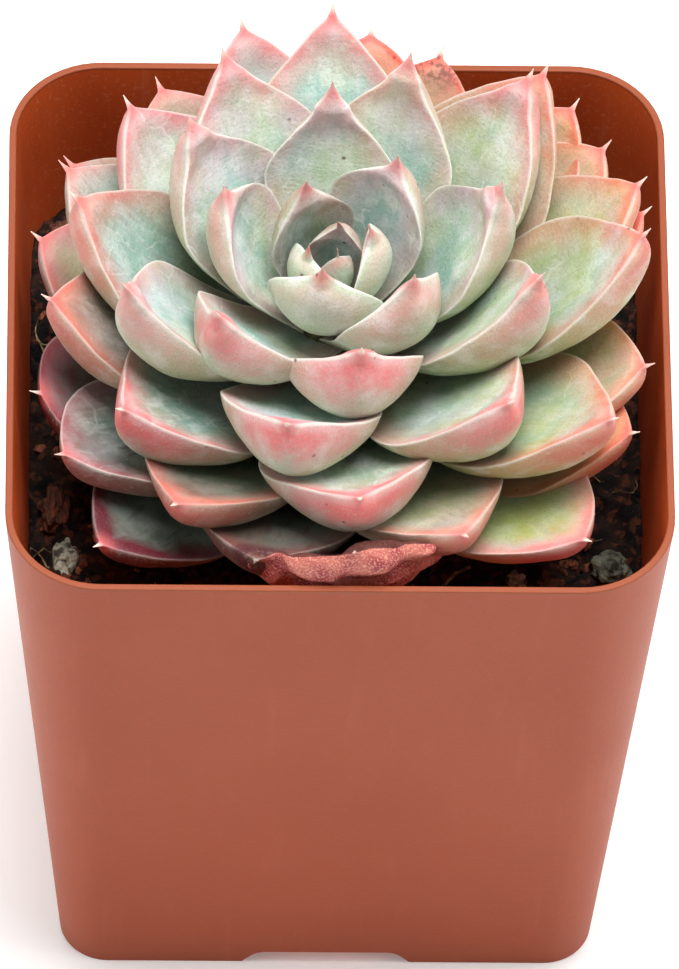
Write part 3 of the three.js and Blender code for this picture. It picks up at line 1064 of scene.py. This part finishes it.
@dataclass
class Litter:
    """The root fibres and crumbs that lie loose on the soil, round the plant."""

    bed: SoilBed
    fibres: int = 46
    fibre_length: float = 5.0
    fibre_spread: tuple[float, float] = (0.4, 1.3)
    fibre_radius: float = 0.13
    fibre_thinning: float = 0.6
    fibre_bend: float = 0.5
    fibre_lift: float = 0.25
    fibre_arch: float = 0.9
    fibre_sides: int = 5
    fibre_steps: int = 6
    fibre_crease: float = 60.0
    straw: tuple = ((11.0, -20.9, 0.6), (12.6, -19.3, 1.3), (14.2, -18.2, 1.0))
    straw_radius: float = 0.22
    crumbs: int = 170
    crumb_size: float = 0.9
    crumb_spread: tuple[float, float] = (0.4, 1.2)
    crumb_breadth: tuple[float, float] = (0.4, 0.8)
    crumb_height: tuple[float, float] = (0.3, 0.6)
    crumb_tilt: float = 0.5
    crumb_scale: float = 1.7
    crumb_stray: float = 0.3
    crumb_crease: float = 25.0
    nearest: float = 21.0
    corner_reach: float = 1.25
    margin: float = 2.2
    seed: int = 5
    # The crumbs' bark is lighter than the chips': their own rust brown, brightened as painted light on the
    # shaded soil.
    crumb_lit_finish: BarkFinish = field(default_factory=lambda: BarkFinish(
        name="bark_crumb", rust="#a25a3a", brown="#4c2c1c"))
    fibre_finish: FibreFinish = field(default_factory=FibreFinish)

    def spot(self, chance: random.Random) -> tuple[float, float]:
        """Picks a place on the soil between the plant and the pot's wall.

        Args:
            chance: The source of chance.

        Returns:
            The place across and along the pot.
        """
        far = self.bed.pot.half(self.bed.level) - self.margin
        while True:
            x, y = chance.uniform(-far, far), chance.uniform(-far, far)
            if max(abs(x), abs(y)) > self.nearest and math.hypot(x, y) < far * self.corner_reach:
                return x, y

    def fibre(self, form: bmesh.types.BMesh, chance: random.Random) -> None:
        """Adds one root fibre, which bends over the soil.

        Args:
            form: The mesh that it is added to.
            chance: The source of chance.
        """
        x, y = self.spot(chance)
        turn, bend = chance.uniform(0, math.tau), chance.uniform(-self.fibre_bend, self.fibre_bend)
        step = self.fibre_length * chance.uniform(*self.fibre_spread) / self.fibre_steps
        far = self.bed.pot.half(self.bed.level) - self.margin / 2
        stations = []
        for number in range(self.fibre_steps + 1):
            share = number / self.fibre_steps
            x, y = (max(-far, min(far, value)) for value in (x, y))
            lift = self.fibre_lift + self.fibre_arch * math.sin(math.pi * share) * abs(bend)
            place = Vector((x, y, self.bed.surface(x, y) + lift))
            stations.append((place, self.fibre_radius * (1 - self.fibre_thinning * share)))
            x, y, turn = x + step * math.cos(turn), y + step * math.sin(turn), turn + bend
        tube(form, stations, self.fibre_sides)

    def crumb(self, form: bmesh.types.BMesh, chance: random.Random) -> None:
        """Adds one angular crumb of bark, half sunk in the soil.

        Args:
            form: The mesh that it is added to.
            chance: The source of chance.
        """
        x, y = self.spot(chance)
        size = self.crumb_size * chance.uniform(*self.crumb_spread)
        breadth, height = chance.uniform(*self.crumb_breadth), chance.uniform(*self.crumb_height)
        shape = Matrix.Diagonal((size, size * breadth, size * height, 1))
        turn = Matrix.Rotation(chance.uniform(0, math.tau), 4, "Z")
        tilt = Matrix.Rotation(chance.uniform(-self.crumb_tilt, self.crumb_tilt), 4, "X")
        place = Matrix.Translation((x, y, self.bed.surface(x, y)))
        matrix = place @ turn @ tilt @ shape
        for vert in bmesh.ops.create_icosphere(form, subdivisions=2, radius=1.0, matrix=matrix)["verts"]:
            vert.co += noise.noise_vector(vert.co * self.crumb_scale) * size * self.crumb_stray

    def build(self) -> list[bpy.types.Object]:
        """Makes the fibres as one piece and the crumbs as another.

        Returns:
            The pieces.
        """
        chance = random.Random(self.seed)
        fibres, crumbs = bmesh.new(), bmesh.new()
        for _ in range(self.fibres):
            self.fibre(fibres, chance)
        stations = [(Vector((x, y, self.bed.level + lift)), self.straw_radius) for x, y, lift in self.straw]
        tube(fibres, stations, self.fibre_sides)
        for _ in range(self.crumbs):
            self.crumb(crumbs, chance)
        bmesh.ops.recalc_face_normals(fibres, faces=fibres.faces)
        tan, bark = self.fibre_finish.material(), self.crumb_lit_finish.material()
        return [
            piece("root_fibres", fibres, tan, ["soil"], crease=self.fibre_crease),
            piece("bark_crumbs", crumbs, bark, ["soil"], crease=self.crumb_crease),
        ]


@dataclass
class Grains:
    """The grains of perlite and bark that lie on the soil, each in the box of its node."""

    stones: tuple[str, ...] = ("perlite_1", "perlite_2", "perlite_3")
    chips: tuple[str, ...] = ("bark_1", "bark_2", "bark_3")
    stone_roughness: float = 0.3
    stone_flake: float = 0.6
    chip_roughness: float = 0.45
    chip_flake: float = 0.9
    lump_scale: float = 1.6
    lump_fade: float = 0.9
    lump_step: float = 2.1
    lump_layers: int = 4
    flake_scale: float = 1.3
    flake_depth: float = 0.4
    most_swell: float = 1.08
    clean_finish: StoneFinish = field(default_factory=StoneFinish)
    soiled_finish: StoneFinish = field(default_factory=lambda: StoneFinish(
        name="perlite_soiled", pale="#6f7462", grey="#474a3d", dirt="#1c1510"))
    chip_finish: BarkFinish = field(default_factory=BarkFinish)

    def lump(self, node: str, roughness: float, flake: float) -> bmesh.types.BMesh:
        """Makes a rough lump that fills the box of a node.

        Args:
            node: The node.
            roughness: How far its surface strays, as a share of its size.
            flake: How much flatter its facets are, from 0 to 1.

        Returns:
            The lump, in millimetres.
        """
        low, high = (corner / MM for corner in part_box(node))
        middle, half = (low + high) / 2, (high - low) / 2
        form = bmesh.new()
        bmesh.ops.create_icosphere(form, subdivisions=4, radius=1.0)
        key = Vector((middle.x, middle.y, 0.0))
        for vert in form.verts:
            unit = vert.co.normalized()
            spot = unit * self.lump_scale + key
            swell = 1 + roughness * noise.fractal(spot, self.lump_fade, self.lump_step, self.lump_layers)
            swell -= flake * noise.voronoi(unit * self.flake_scale + key)[0][0] * self.flake_depth
            vert.co = middle + Vector(unit[i] * half[i] * min(swell, self.most_swell) for i in range(3))
        return form

    def build(self) -> list[bpy.types.Object]:
        """Makes the grains.

        Returns:
            The pieces.
        """
        clean, bark = self.clean_finish.material(), self.chip_finish.material()
        soiled = self.soiled_finish.material()
        made = []
        for number, (node, stone) in enumerate(zip(self.stones, (clean, soiled, clean)), 1):
            form = self.lump(node, self.stone_roughness, self.stone_flake)
            made.append(piece(f"stone_{number}", form, stone, [node]))
        for number, node in enumerate(self.chips, 1):
            form = self.lump(node, self.chip_roughness, self.chip_flake)
            made.append(piece(f"chip_{number}", form, bark, [node]))
        return made


@dataclass(frozen=True)
class Course:
    """Where a leaf lies: its foot on the stem, its tip, the point that bends it, and its side."""

    foot: Vector
    bend: Vector
    tip: Vector
    side: Vector
    outward: Vector

    def place(self, share: float) -> Vector:
        """Gives the place at a share of the length."""
        rest = 1 - share
        return self.foot * rest ** 2 + self.bend * (2 * rest * share) + self.tip * share ** 2

    def heading(self, share: float) -> Vector:
        """Gives the direction at a share of the length."""
        rest = 1 - share
        return ((self.bend - self.foot) * rest + (self.tip - self.bend) * share).normalized()


@dataclass(frozen=True)
class Tone:
    """A leaf's own colouring.

    Warmth holds its blush, plum and ember. Green holds the lime, the dull dark green, which is partly painted
    shade, and the powder of its green. State holds its flush, its scar and how far it has withered.
    """

    warmth: tuple[float, float, float]
    green: tuple[float, float, float]
    state: tuple[float, float, float] = (0.0, 0.0, 0.0)


@dataclass(frozen=True)
class Shape:
    """One leaf's form: its sizes, its hollow, how its outline runs, how it bends and how far it may reach."""

    width: float
    thickness: float
    hollow: float
    foot_width: float
    bluntness: float
    point: float
    curl: float
    twist: float
    widest: float = 0.62
    limit: float | None = None

    def outline(self, share: float) -> float:
        """Gives half the leaf's width at a share of its length.

        Args:
            share: The share of the length, from 0 at the foot to 1 at the tip.

        Returns:
            The half width, as a share of the greatest.
        """
        broad = mix(self.foot_width, 1, ease(share, 0, self.widest))
        to_tip = min(1.0, (1 - share) / (1 - self.widest))
        return broad * (1 - (1 - to_tip) ** self.bluntness) ** self.point


@dataclass
class Rosette:
    """The plant: leaves set round a stem, each the golden turn after the one above it.

    Each curve is given as points: a leaf's number, counted from the innermost, and the value there. The
    departures of single leaves from the curves stand in off_turn, off_reach and off_rise.
    """

    leaf_count: int = 51
    first_turn: float = 300.0
    golden_turn: float = 137.44
    axis_x: float = -0.8
    lean_right: float = 0.05
    lean_back: float = 0.08
    tip_reach: tuple = ((0, 0.6), (4, 5.7), (10, 16.4), (20, 28.2), (35, 35), (50, 36))
    tip_height: tuple = ((0, 90.8), (4, 95.9), (10, 98.4), (20, 94.2), (35, 83.1), (50, 78))
    foot_level: tuple = ((0, 82), (10, 77.5), (20, 74.3), (35, 70.2), (50, 66))
    width: tuple = ((0, 4.6), (2, 8), (5, 12.4), (12, 15), (20, 17), (30, 18.5), (50, 18))
    curl: tuple = ((0, 0.1), (12, 0.12), (50, 0.09))
    thickness: tuple = ((0, 1.5), (5, 2.6), (10, 4.6), (18, 5.6), (26, 5.4), (31, 4.4), (40, 4.2), (50, 4))
    hollow: tuple = ((0, 0.5), (3, 0.3), (12, 0.26), (50, 0.14))
    foot_width: tuple = ((0, 0.6), (10, 0.6), (16, 0.42), (50, 0.42))
    tip_bluntness: tuple = ((0, 1.8), (4, 1.9), (7, 2.2), (9, 1.6), (30, 1.8), (42, 2.2), (50, 2.1))
    tip_point: tuple = ((0, 0.75), (7, 0.8), (9, 1), (30, 0.92), (42, 0.8), (50, 0.85))
    spine_length: tuple = ((0, 1.2), (2, 2.2), (4, 2.8), (14, 2.8), (24, 1.6), (50, 1.4))
    off_turn: dict = field(default_factory=lambda: {
        4: -6, 5: -9, 7: -13, 8: -8, 9: -5, 10: -8, 11: -5, 12: -5, 13: -9, 14: 2, 17: 4, 18: 3, 19: 9, 21: 6,
        22: 8, 27: -6, 30: 5, 31: -3, 33: -7, 35: -2, 36: 7, 38: -2, 39: -4, 40: -6, 41: -12, 43: -8, 44: 2,
        45: 12, 47: -6.5, 48: -14,
    })
    off_reach: dict = field(default_factory=lambda: {
        3: -0.8, 4: -0.6, 5: -0.5, 7: 0.8, 8: -0.7, 10: 2, 13: -1.5, 15: 2, 19: 1, 24: 3, 28: -1, 29: 4,
        32: 1.5, 42: 5, 44: 2,
    })
    off_rise: dict = field(default_factory=lambda: {
        7: 1, 9: 0.5, 12: 1, 13: 1, 15: 2, 16: 1.5, 18: 0.5, 23: -2.5, 24: 3, 25: -2, 27: 2.5, 29: 1.5, 30: 1,
        33: -3, 35: -3, 38: -2.5, 41: 1, 43: 1.5, 44: -1.5, 45: 1, 46: -2, 47: 6.4, 48: 3, 50: 1.5,
    })
    withered: int = 47
    own_shape: dict = field(default_factory=lambda: {
        47: Shape(21.5, 4.6, 0.1, 0.42, 3, 0.7, curl=0.2, twist=4, widest=0.8, limit=33.9),
        49: Shape(17, 4.6, 0.14, 0.42, 2.8, 0.65, curl=0.09, twist=0, widest=0.75, limit=32.6),
    })
    # In each tone, green's second number is the dull dark green, partly the leaf's own tone and partly
    # painted shade, as on leaves 0 and 1 in the cup round the bud.
    own_tone: dict = field(default_factory=lambda: {
        0: Tone((0.35, 0.1, 0), (0, 0.3, 0.5)),
        1: Tone((0.25, 0.1, 0), (0, 0.5, 0.3)),
        4: Tone((0.15, 0, 0), (0.25, 0.4, 0.3)),
        6: Tone((0.2, 0, 0), (0, 0.1, 0.9)),
        8: Tone((0.4, 0, 0), (0, 0, 1)),
        10: Tone((0.75, 0, 0), (0.05, 0, 0.9)),
        12: Tone((0.4, 0, 0), (0, 0, 1)),
        13: Tone((0.9, 0, 0), (0, 0, 0.9), (0.15, 0, 0)),
        18: Tone((0.95, 0, 0), (0, 0.1, 0.9)),
        20: Tone((0.8, 0, 0.55), (0.1, 0.35, 0.5)),
        23: Tone((1, 0, 0.1), (0, 0.5, 0.55)),
        26: Tone((1, 0, 0.15), (0, 0.35, 0.55)),
        28: Tone((0.8, 0.1, 0.6), (0, 0.85, 0.3), (0.2, 0, 0)),
        31: Tone((0.75, 0.2, 0.55), (0.3, 1, 0), (0.1, 0, 0)),
        33: Tone((0.35, 0.1, 0.3), (0.15, 0.4, 0.3)),
        34: Tone((0.7, 0.05, 0.6), (0.45, 0.35, 0.2), (0.2, 0, 0)),
        35: Tone((0.9, 0.2, 0.7), (0.4, 0.5, 0), (0.6, 0.8, 0)),
        36: Tone((0.5, 0.45, 0), (0, 1, 0.3), (0.1, 0, 0)),
        38: Tone((0.45, 0.1, 0.3), (0.2, 0.5, 0.1), (0.1, 0, 0)),
        39: Tone((0.35, 1, 0.1), (0.2, 0.9, 0), (0.5, 1, 0)),
        41: Tone((0.7, 0.4, 0.1), (0.5, 0.3, 0), (0.3, 0, 0)),
        42: Tone((0.95, 0, 0.15), (0.95, 0.15, 0.15)),
        43: Tone((1, 0, 0.7), (0.6, 0.2, 0), (0.9, 0, 0)),
        44: Tone((0.9, 1, 0), (0, 1, 0)),
        45: Tone((1, 0, 0.9), (1, 0.3, 0), (0.6, 0, 0)),
        46: Tone((0.2, 0.1, 0.4), (0.3, 0.6, 0)),
        47: Tone((0.8, 0.3, 0.3), (0, 0, 0), (1, 0, 1)),
        49: Tone((0.9, 0.8, 0), (0, 0.7, 0), (0.9, 0, 0)),
        50: Tone((1, 0, 0.9), (1, 0.35, 0), (0.4, 0, 0)),
    })
    first_foot: float = 0.4
    next_foot: float = 0.3
    last_foot: float = 2.6
    inside_limit: float = 32.6
    above_limit: float = 34.4
    above_rim: float = 6.0
    pot_height: float = 77.0
    thickest: float = 0.7
    foot_thickness: float = 0.45
    prow: float = 2.0
    tip_taper: float = 0.65
    margin_taper: float = 1.3
    longest_spine: float = 0.18
    top_swell: float = 0.1
    spine_radius: float = 0.42
    spine_tip: float = 0.06
    spine_flare: tuple = ((0, 0.22), (4, 0.34), (14, 0.32), (24, 0.2), (50, 0.18))
    spine_spread: float = 1.5
    spine_depth: float = 0.65
    full_size: float = 6.0
    spine_full_size: float = 5.0
    dent_full_size: float = 8.0
    flare_end: float = 3.0
    flare_fade: float = 7.0
    around: int = 64
    rows: int = 64
    row_crowding: float = 1.5
    pole: float = 0.001
    upper_from: float = 0.02
    random_seed: float = 20.0
    random_strides: tuple[float, float] = (12.9898, 78.233)
    random_reach: float = 43758.5453
    pattern_stride: float = 31.0
    turn_spread: float = 2.0
    twist_spread: tuple = ((0, 1), (8, 4), (16, 7), (50, 7))
    size_spread: float = 0.05
    dent: float = 0.28
    dent_length: float = 7.0
    dent_stride: float = 3.7
    dent_start: float = 0.3
    dent_end: float = 0.12
    ripple: float = 0.3
    ripple_scale: float = 3.1
    crumple: float = 4.5
    crumple_scale: float = 2.3
    torn_leaves: int = 2
    stem_radius: float = 4.4
    stem_foot: float = 40.0
    stem_shoulder: float = 78.0
    stem_top: float = 84.0
    stem_taper: float = 2.0
    stem_sides: int = 32
    stem_crease: float = 40.0
    stem_finish: BarkFinish = field(default_factory=lambda: BarkFinish(
        name="stem_skin", rust="#7d7a4e", brown="#5b5a3a"))
    finish: LeafFinish = field(default_factory=LeafFinish)

    def along(self, curve: Sequence[tuple[float, float]], number: int) -> float:
        """Reads a curve at a leaf's number.

        Args:
            curve: The curve's points, in order.
            number: The leaf's number.

        Returns:
            The value there.
        """
        for (start, first), (end, second) in zip(curve, curve[1:]):
            if number <= end:
                return mix(first, second, (number - start) / (end - start))
        return curve[-1][1]

    def draw(self, number: int, purpose: Purpose) -> float:
        """Gives a random number that is the same in every run.

        Args:
            number: The leaf's number.
            purpose: What the number is for.

        Returns:
            A number from -1 to 1.
        """
        leaf_stride, purpose_stride = self.random_strides
        value = number * leaf_stride + purpose.value * purpose_stride + self.random_seed
        value = math.sin(value) * self.random_reach
        return 2 * (value - math.floor(value)) - 1

    def course(self, number: int, shape: Shape) -> Course:
        """Works out where a leaf lies.

        Args:
            number: The leaf's number, 0 for the innermost.
            shape: Its form.

        Returns:
            Its course.
        """
        turn = self.first_turn + self.golden_turn * number
        turn += self.off_turn.get(number, 0) + self.turn_spread * self.draw(number, Purpose.TURN)
        angle = math.radians(turn)
        outward = Vector((math.cos(angle), math.sin(angle), 0))
        wanted = self.along(self.tip_reach, number) + self.off_reach.get(number, 0)
        rise = wanted * (self.lean_right * outward.x + self.lean_back * outward.y)
        height = self.along(self.tip_height, number) + rise + self.off_rise.get(number, 0)
        free = self.above_limit if height > self.pot_height + self.above_rim else self.inside_limit
        limit = shape.limit or free
        sideways = (limit - math.copysign(self.axis_x, outward.x * self.axis_x)) / abs(outward.x)
        reach = min(wanted, sideways, limit / abs(outward.y))
        centre = Vector((self.axis_x, 0, 0))
        foot_reach = min(self.last_foot, self.first_foot + number * self.next_foot)
        foot = centre + outward * foot_reach + Vector((0, 0, self.along(self.foot_level, number)))
        tip = centre + outward * reach + Vector((0, 0, height))
        side = Vector((-outward.y, outward.x, 0))
        below = side.cross(tip - foot) * (2 * shape.curl)
        return Course(foot, (foot + tip) / 2 + below, tip, side, outward)

    def shape(self, number: int) -> Shape:
        """Gives a leaf's own form, or else reads one off the curves at its number.

        Args:
            number: The leaf's number.

        Returns:
            The form.
        """
        if number in self.own_shape:
            return self.own_shape[number]
        size = 1 + self.size_spread * self.draw(number, Purpose.SIZE)
        curves = (self.thickness, self.hollow, self.foot_width, self.tip_bluntness, self.tip_point, self.curl)
        twist = self.along(self.twist_spread, number) * self.draw(number, Purpose.TWIST)
        width = self.along(self.width, number) * size
        return Shape(width, *(self.along(curve, number) for curve in curves), twist)

    def profile(self, share: float) -> float:
        """Gives a leaf's thickness at a share of its length.

        Args:
            share: The share of the length, from 0 at the foot to 1 at the tip.

        Returns:
            The thickness, as a share of the greatest.
        """
        full = mix(self.foot_thickness, 1, ease(share, 0, self.thickest))
        past = max(0.0, (share - self.thickest) / (1 - self.thickest))
        return full * max(0.0, 1 - past ** self.prow) ** self.tip_taper

    def prick(self, number: int, distance: float) -> float:
        """Gives the radius of a leaf's spine, which flares into the flesh.

        Args:
            number: The leaf's number.
            distance: The distance from the spine's end.

        Returns:
            The radius there.
        """
        flare = self.along(self.spine_flare, number)
        flared = self.spine_tip + flare * min(distance, self.flare_end) ** self.spine_spread
        return mix(flared, self.spine_radius, ease(distance, self.flare_end, self.flare_fade))

    def tone(self, number: int, outward: Vector) -> Tone:
        """Chooses a leaf's colouring from its age and its side, but for the leaves that have their own.

        Args:
            number: The leaf's number.
            outward: The way it points.

        Returns:
            Its colouring.
        """
        if number in self.own_tone:
            return self.own_tone[number]
        age = number / self.leaf_count
        left, back = -outward.x, outward.y
        blush = 0.2 + 0.55 * ease(age, 0.05, 0.45) + 0.15 * self.draw(number, Purpose.BLUSH)
        plum = 0.5 * ease(age, 0.3, 0.8) * ease(left - back * 0.5, 0.1, 0.9)
        ember = 0.85 * ease(age, 0.25, 0.7) * ease(back * 0.4 - left, -0.1, 0.8)
        lime = 0.8 * ease(age, 0.15, 0.6) * ease(-left, -0.1, 0.8)
        # The dull dark green gathers on the older leaves at the left and front: partly their own tone, partly
        # painted shade on those shaded leaves.
        dull_green_and_shade = 0.8 * ease(age, 0.2, 0.75) * ease(left - back, -0.4, 0.8)
        powder = 0.85 - 0.6 * ease(age, 0.15, 0.7) + 0.15 * self.draw(number, Purpose.POWDER)
        flush = 0.7 * ease(age, 0.45, 0.9) * ease(max(back, abs(left) - 0.3), 0.0, 0.7)
        return Tone((blush, plum, ember), (lime, dull_green_and_shade, powder), (flush, 0.0, 0.0))

    def leaf(self, number: int, skin: bpy.types.Material) -> bpy.types.Object:
        """Makes a leaf: a ball whose rows lie along the leaf's course, hollow above and full below.

        Args:
            number: The leaf's number.
            skin: Its finish.

        Returns:
            The piece.
        """
        shape = self.shape(number)
        course = self.course(number, shape)
        half_width, hollow = shape.width / 2, shape.hollow
        twist = math.radians(shape.twist)
        length = (course.tip - course.foot).length
        spine = min(self.along(self.spine_length, number), length * self.longest_spine)
        flesh = 1 - spine / length
        spread = max(1.0, self.full_size / half_width)
        form = bmesh.new()
        bmesh.ops.create_uvsphere(form, u_segments=self.around, v_segments=self.rows, radius=1.0)
        places, edges, points, uppers = [], [], [], []
        for vert in form.verts:
            row = math.acos(max(-1.0, min(1.0, vert.co.z))) / math.pi
            share = 1 - (1 - row) ** self.row_crowding
            angle = math.atan2(vert.co.y, vert.co.x)
            closed = min(row, 1 - row) < self.pole
            body = min(1.0, share / flesh)
            prick = self.prick(number, (1 - share) * length) * min(1.0, half_width / self.spine_full_size)
            reach = 0.0 if closed else math.hypot(shape.outline(body) * half_width, prick)
            depth = self.profile(body) * shape.thickness
            swell = self.top_swell if math.sin(angle) > 0 else 1 - self.top_swell
            tall = 0.0 if closed else math.hypot(depth * swell, prick * self.spine_depth)
            across = reach * math.cos(angle)
            bulge = math.copysign(abs(math.sin(angle)) ** self.margin_taper, math.sin(angle))
            lift = tall * bulge + hollow * reach * math.cos(angle) ** 2
            ahead = course.heading(share)
            up = ahead.cross(course.side).normalized()
            turn = Matrix.Rotation(twist, 3, ahead)
            vert.co = course.place(share) + (turn @ course.side) * across + (turn @ up) * lift
            vert.co += self.unevenness(vert.co, share, number) * min(1.0, half_width / self.dent_full_size)
            places.extend((across, share * length, lift + number * self.pattern_stride))
            edges.append(math.hypot(reach - abs(across), lift - hollow * reach) * spread)
            points.append((vert.co - course.tip).length * spread)
            uppers.append(1.0 if math.sin(angle) > self.upper_from else 0.0)
        bmesh.ops.recalc_face_normals(form, faces=form.faces)
        made = piece(f"leaf_{number + 1:02d}", form, skin, ["rosette"])
        tone = self.tone(number, course.outward)
        count = len(points)
        self.carry(made.data, "place", "FLOAT_VECTOR", places)
        self.carry(made.data, "edge", "FLOAT", edges)
        self.carry(made.data, "point", "FLOAT", points)
        self.carry(made.data, "upper", "FLOAT", uppers)
        self.carry(made.data, "warmth", "FLOAT_VECTOR", tone.warmth * count)
        self.carry(made.data, "green", "FLOAT_VECTOR", tone.green * count)
        self.carry(made.data, "state", "FLOAT_VECTOR", tone.state * count)
        return made

    def unevenness(self, place: Vector, share: float, number: int) -> Vector:
        """Gives how far a place on a leaf strays from the even form.

        Args:
            place: The place.
            share: Its share of the leaf's length.
            number: The leaf's number.

        Returns:
            The stray: broad dents, a ripple and, on the withered and the innermost leaves, a crumple.
        """
        spot = place / self.dent_length + Vector((0, 0, number * self.dent_stride))
        stray = noise.noise_vector(spot) + noise.noise_vector(spot * self.ripple_scale) * self.ripple
        if number == self.withered or number < self.torn_leaves:
            stray += noise.noise_vector(spot * self.crumple_scale) * self.crumple
        return stray * self.dent * ease(share, 0.0, self.dent_start) * ease(1 - share, 0.0, self.dent_end)

    def carry(self, mesh: bpy.types.Mesh, name: str, kind: str, values: Sequence[float]) -> None:
        """Stores numbers on a mesh's vertices under a name."""
        layer = mesh.attributes.new(name, kind, "POINT")
        layer.data.foreach_set("vector" if kind == "FLOAT_VECTOR" else "value", values)

    def stem(self) -> bpy.types.Object:
        """Makes the stem that the leaves stand on.

        Returns:
            The piece.
        """
        form = bmesh.new()
        levels = (
            (self.stem_foot, self.stem_radius - self.stem_taper),
            (self.stem_foot + self.stem_taper, self.stem_radius),
            (self.stem_shoulder, self.stem_radius),
            (self.stem_top, self.stem_taper / 4),
        )
        tube(form, [(Vector((self.axis_x, 0, z)), radius) for z, radius in levels], self.stem_sides)
        bmesh.ops.recalc_face_normals(form, faces=form.faces)
        material = self.stem_finish.material()
        return piece("stem", form, material, ["rosette"], crease=self.stem_crease)

    def build(self) -> list[bpy.types.Object]:
        """Makes the stem and every leaf.

        Returns:
            The pieces.
        """
        skin = self.finish.material()
        return [self.stem(), *(self.leaf(number, skin) for number in range(self.leaf_count))]


@dataclass
class Studio:
    """The pale floor, the soft light and the camera."""

    elevation: float = 53.436
    yaw: float = -2.072
    roll: float = 2.078
    distance: float = 1339.8
    scale: float = 9.254
    aside: float = 0.699
    above: float = 6.002
    aim_height: float = 38.39
    floor_half: float = 3000.0
    sky: float = 0.18
    softbox_place: tuple[float, float, float] = (90.0, 160.0, 1300.0)
    softbox_side: float = 800.0
    softbox_power: float = 25.0
    card_place: tuple[float, float, float] = (1100.0, -150.0, 650.0)
    card_side: float = 700.0
    card_power: float = 5.5
    clip: tuple[float, float] = (0.05, 20.0)

    def floor(self) -> None:
        """Lays the floor, which isn't part of the plant."""
        form = bmesh.new()
        bmesh.ops.create_grid(form, x_segments=1, y_segments=1, size=self.floor_half * MM)
        mesh = bpy.data.meshes.new("studio_floor")
        form.to_mesh(mesh)
        form.free()
        mesh.materials.append(FloorFinish().material())
        made = bpy.data.objects.new("studio_floor", mesh)
        bpy.context.scene.collection.objects.link(made)

    def softbox(self, name: str, place: Sequence[float], side: float, power: float) -> None:
        """Hangs a square light that looks at the plant.

        Args:
            name: Its name.
            place: Where it hangs, in millimetres.
            side: Its side, in millimetres.
            power: Its power, in watts.
        """
        light = bpy.data.lights.new(name, "AREA")
        light.shape = "SQUARE"
        light.size = side * MM
        light.energy = power
        made = bpy.data.objects.new(name, light)
        made.location = Vector(place) * MM
        aim = Vector((0, 0, self.aim_height)) * MM - made.location
        made.rotation_euler = aim.to_track_quat("-Z", "Y").to_euler()
        bpy.context.scene.collection.objects.link(made)

    def light(self) -> None:
        """Sets the sky and hangs the lights."""
        world = bpy.data.worlds.new("studio")
        world.use_nodes = True
        background = world.node_tree.nodes["Background"]
        background.inputs["Color"].default_value = (1.0, 1.0, 1.0, 1.0)
        background.inputs["Strength"].default_value = self.sky
        scene = bpy.context.scene
        scene.world = world
        scene.view_settings.view_transform = "Standard"
        self.softbox("overhead", self.softbox_place, self.softbox_side, self.softbox_power)
        x, y, z = self.card_place
        self.softbox("left_card", (-x, y, z), self.card_side, self.card_power)
        self.softbox("right_card", (x, y, z), self.card_side, self.card_power)

    def camera(self) -> None:
        """Places the camera at the photograph's angle, for an image of 679 by 969."""
        rise, yaw, roll = (math.radians(angle) for angle in (self.elevation, self.yaw, self.roll))
        back = Vector((math.sin(yaw) * math.cos(rise), -math.cos(yaw) * math.cos(rise), math.sin(rise)))
        right = Vector((math.cos(yaw), math.sin(yaw), 0))
        up = back.cross(right)
        aim = Vector((0, 0, self.aim_height)) + right * self.aside + up * self.above
        turned_right = right * math.cos(roll) + up * math.sin(roll)
        turned_up = up * math.cos(roll) - right * math.sin(roll)
        lens = bpy.data.cameras.new("camera")
        lens.sensor_width = SENSOR
        lens.lens = self.scale * self.distance / max(IMAGE_WIDTH, IMAGE_HEIGHT) * SENSOR
        lens.clip_start, lens.clip_end = self.clip
        made = bpy.data.objects.new("camera", lens)
        basis = Matrix((turned_right, turned_up, back)).transposed().to_4x4()
        made.matrix_world = Matrix.Translation((aim + back * self.distance) * MM) @ basis
        bpy.context.scene.collection.objects.link(made)
        bpy.context.scene.camera = made

    def build(self) -> None:
        """Sets the whole studio."""
        self.camera()
        self.floor()
        self.light()


def main() -> None:
    """Builds the plant and its studio, and notes the size of what is shown."""
    logging.basicConfig(level=logging.INFO, format="%(message)s")
    noise.seed_set(NOISE_SEED)
    Studio().build()
    pot = NurseryPot()
    bed = SoilBed(pot)
    pot.build()
    bed.build()
    Litter(bed).build()
    Grains().build()
    Rosette().build()


if __name__ == "__main__":
    main()
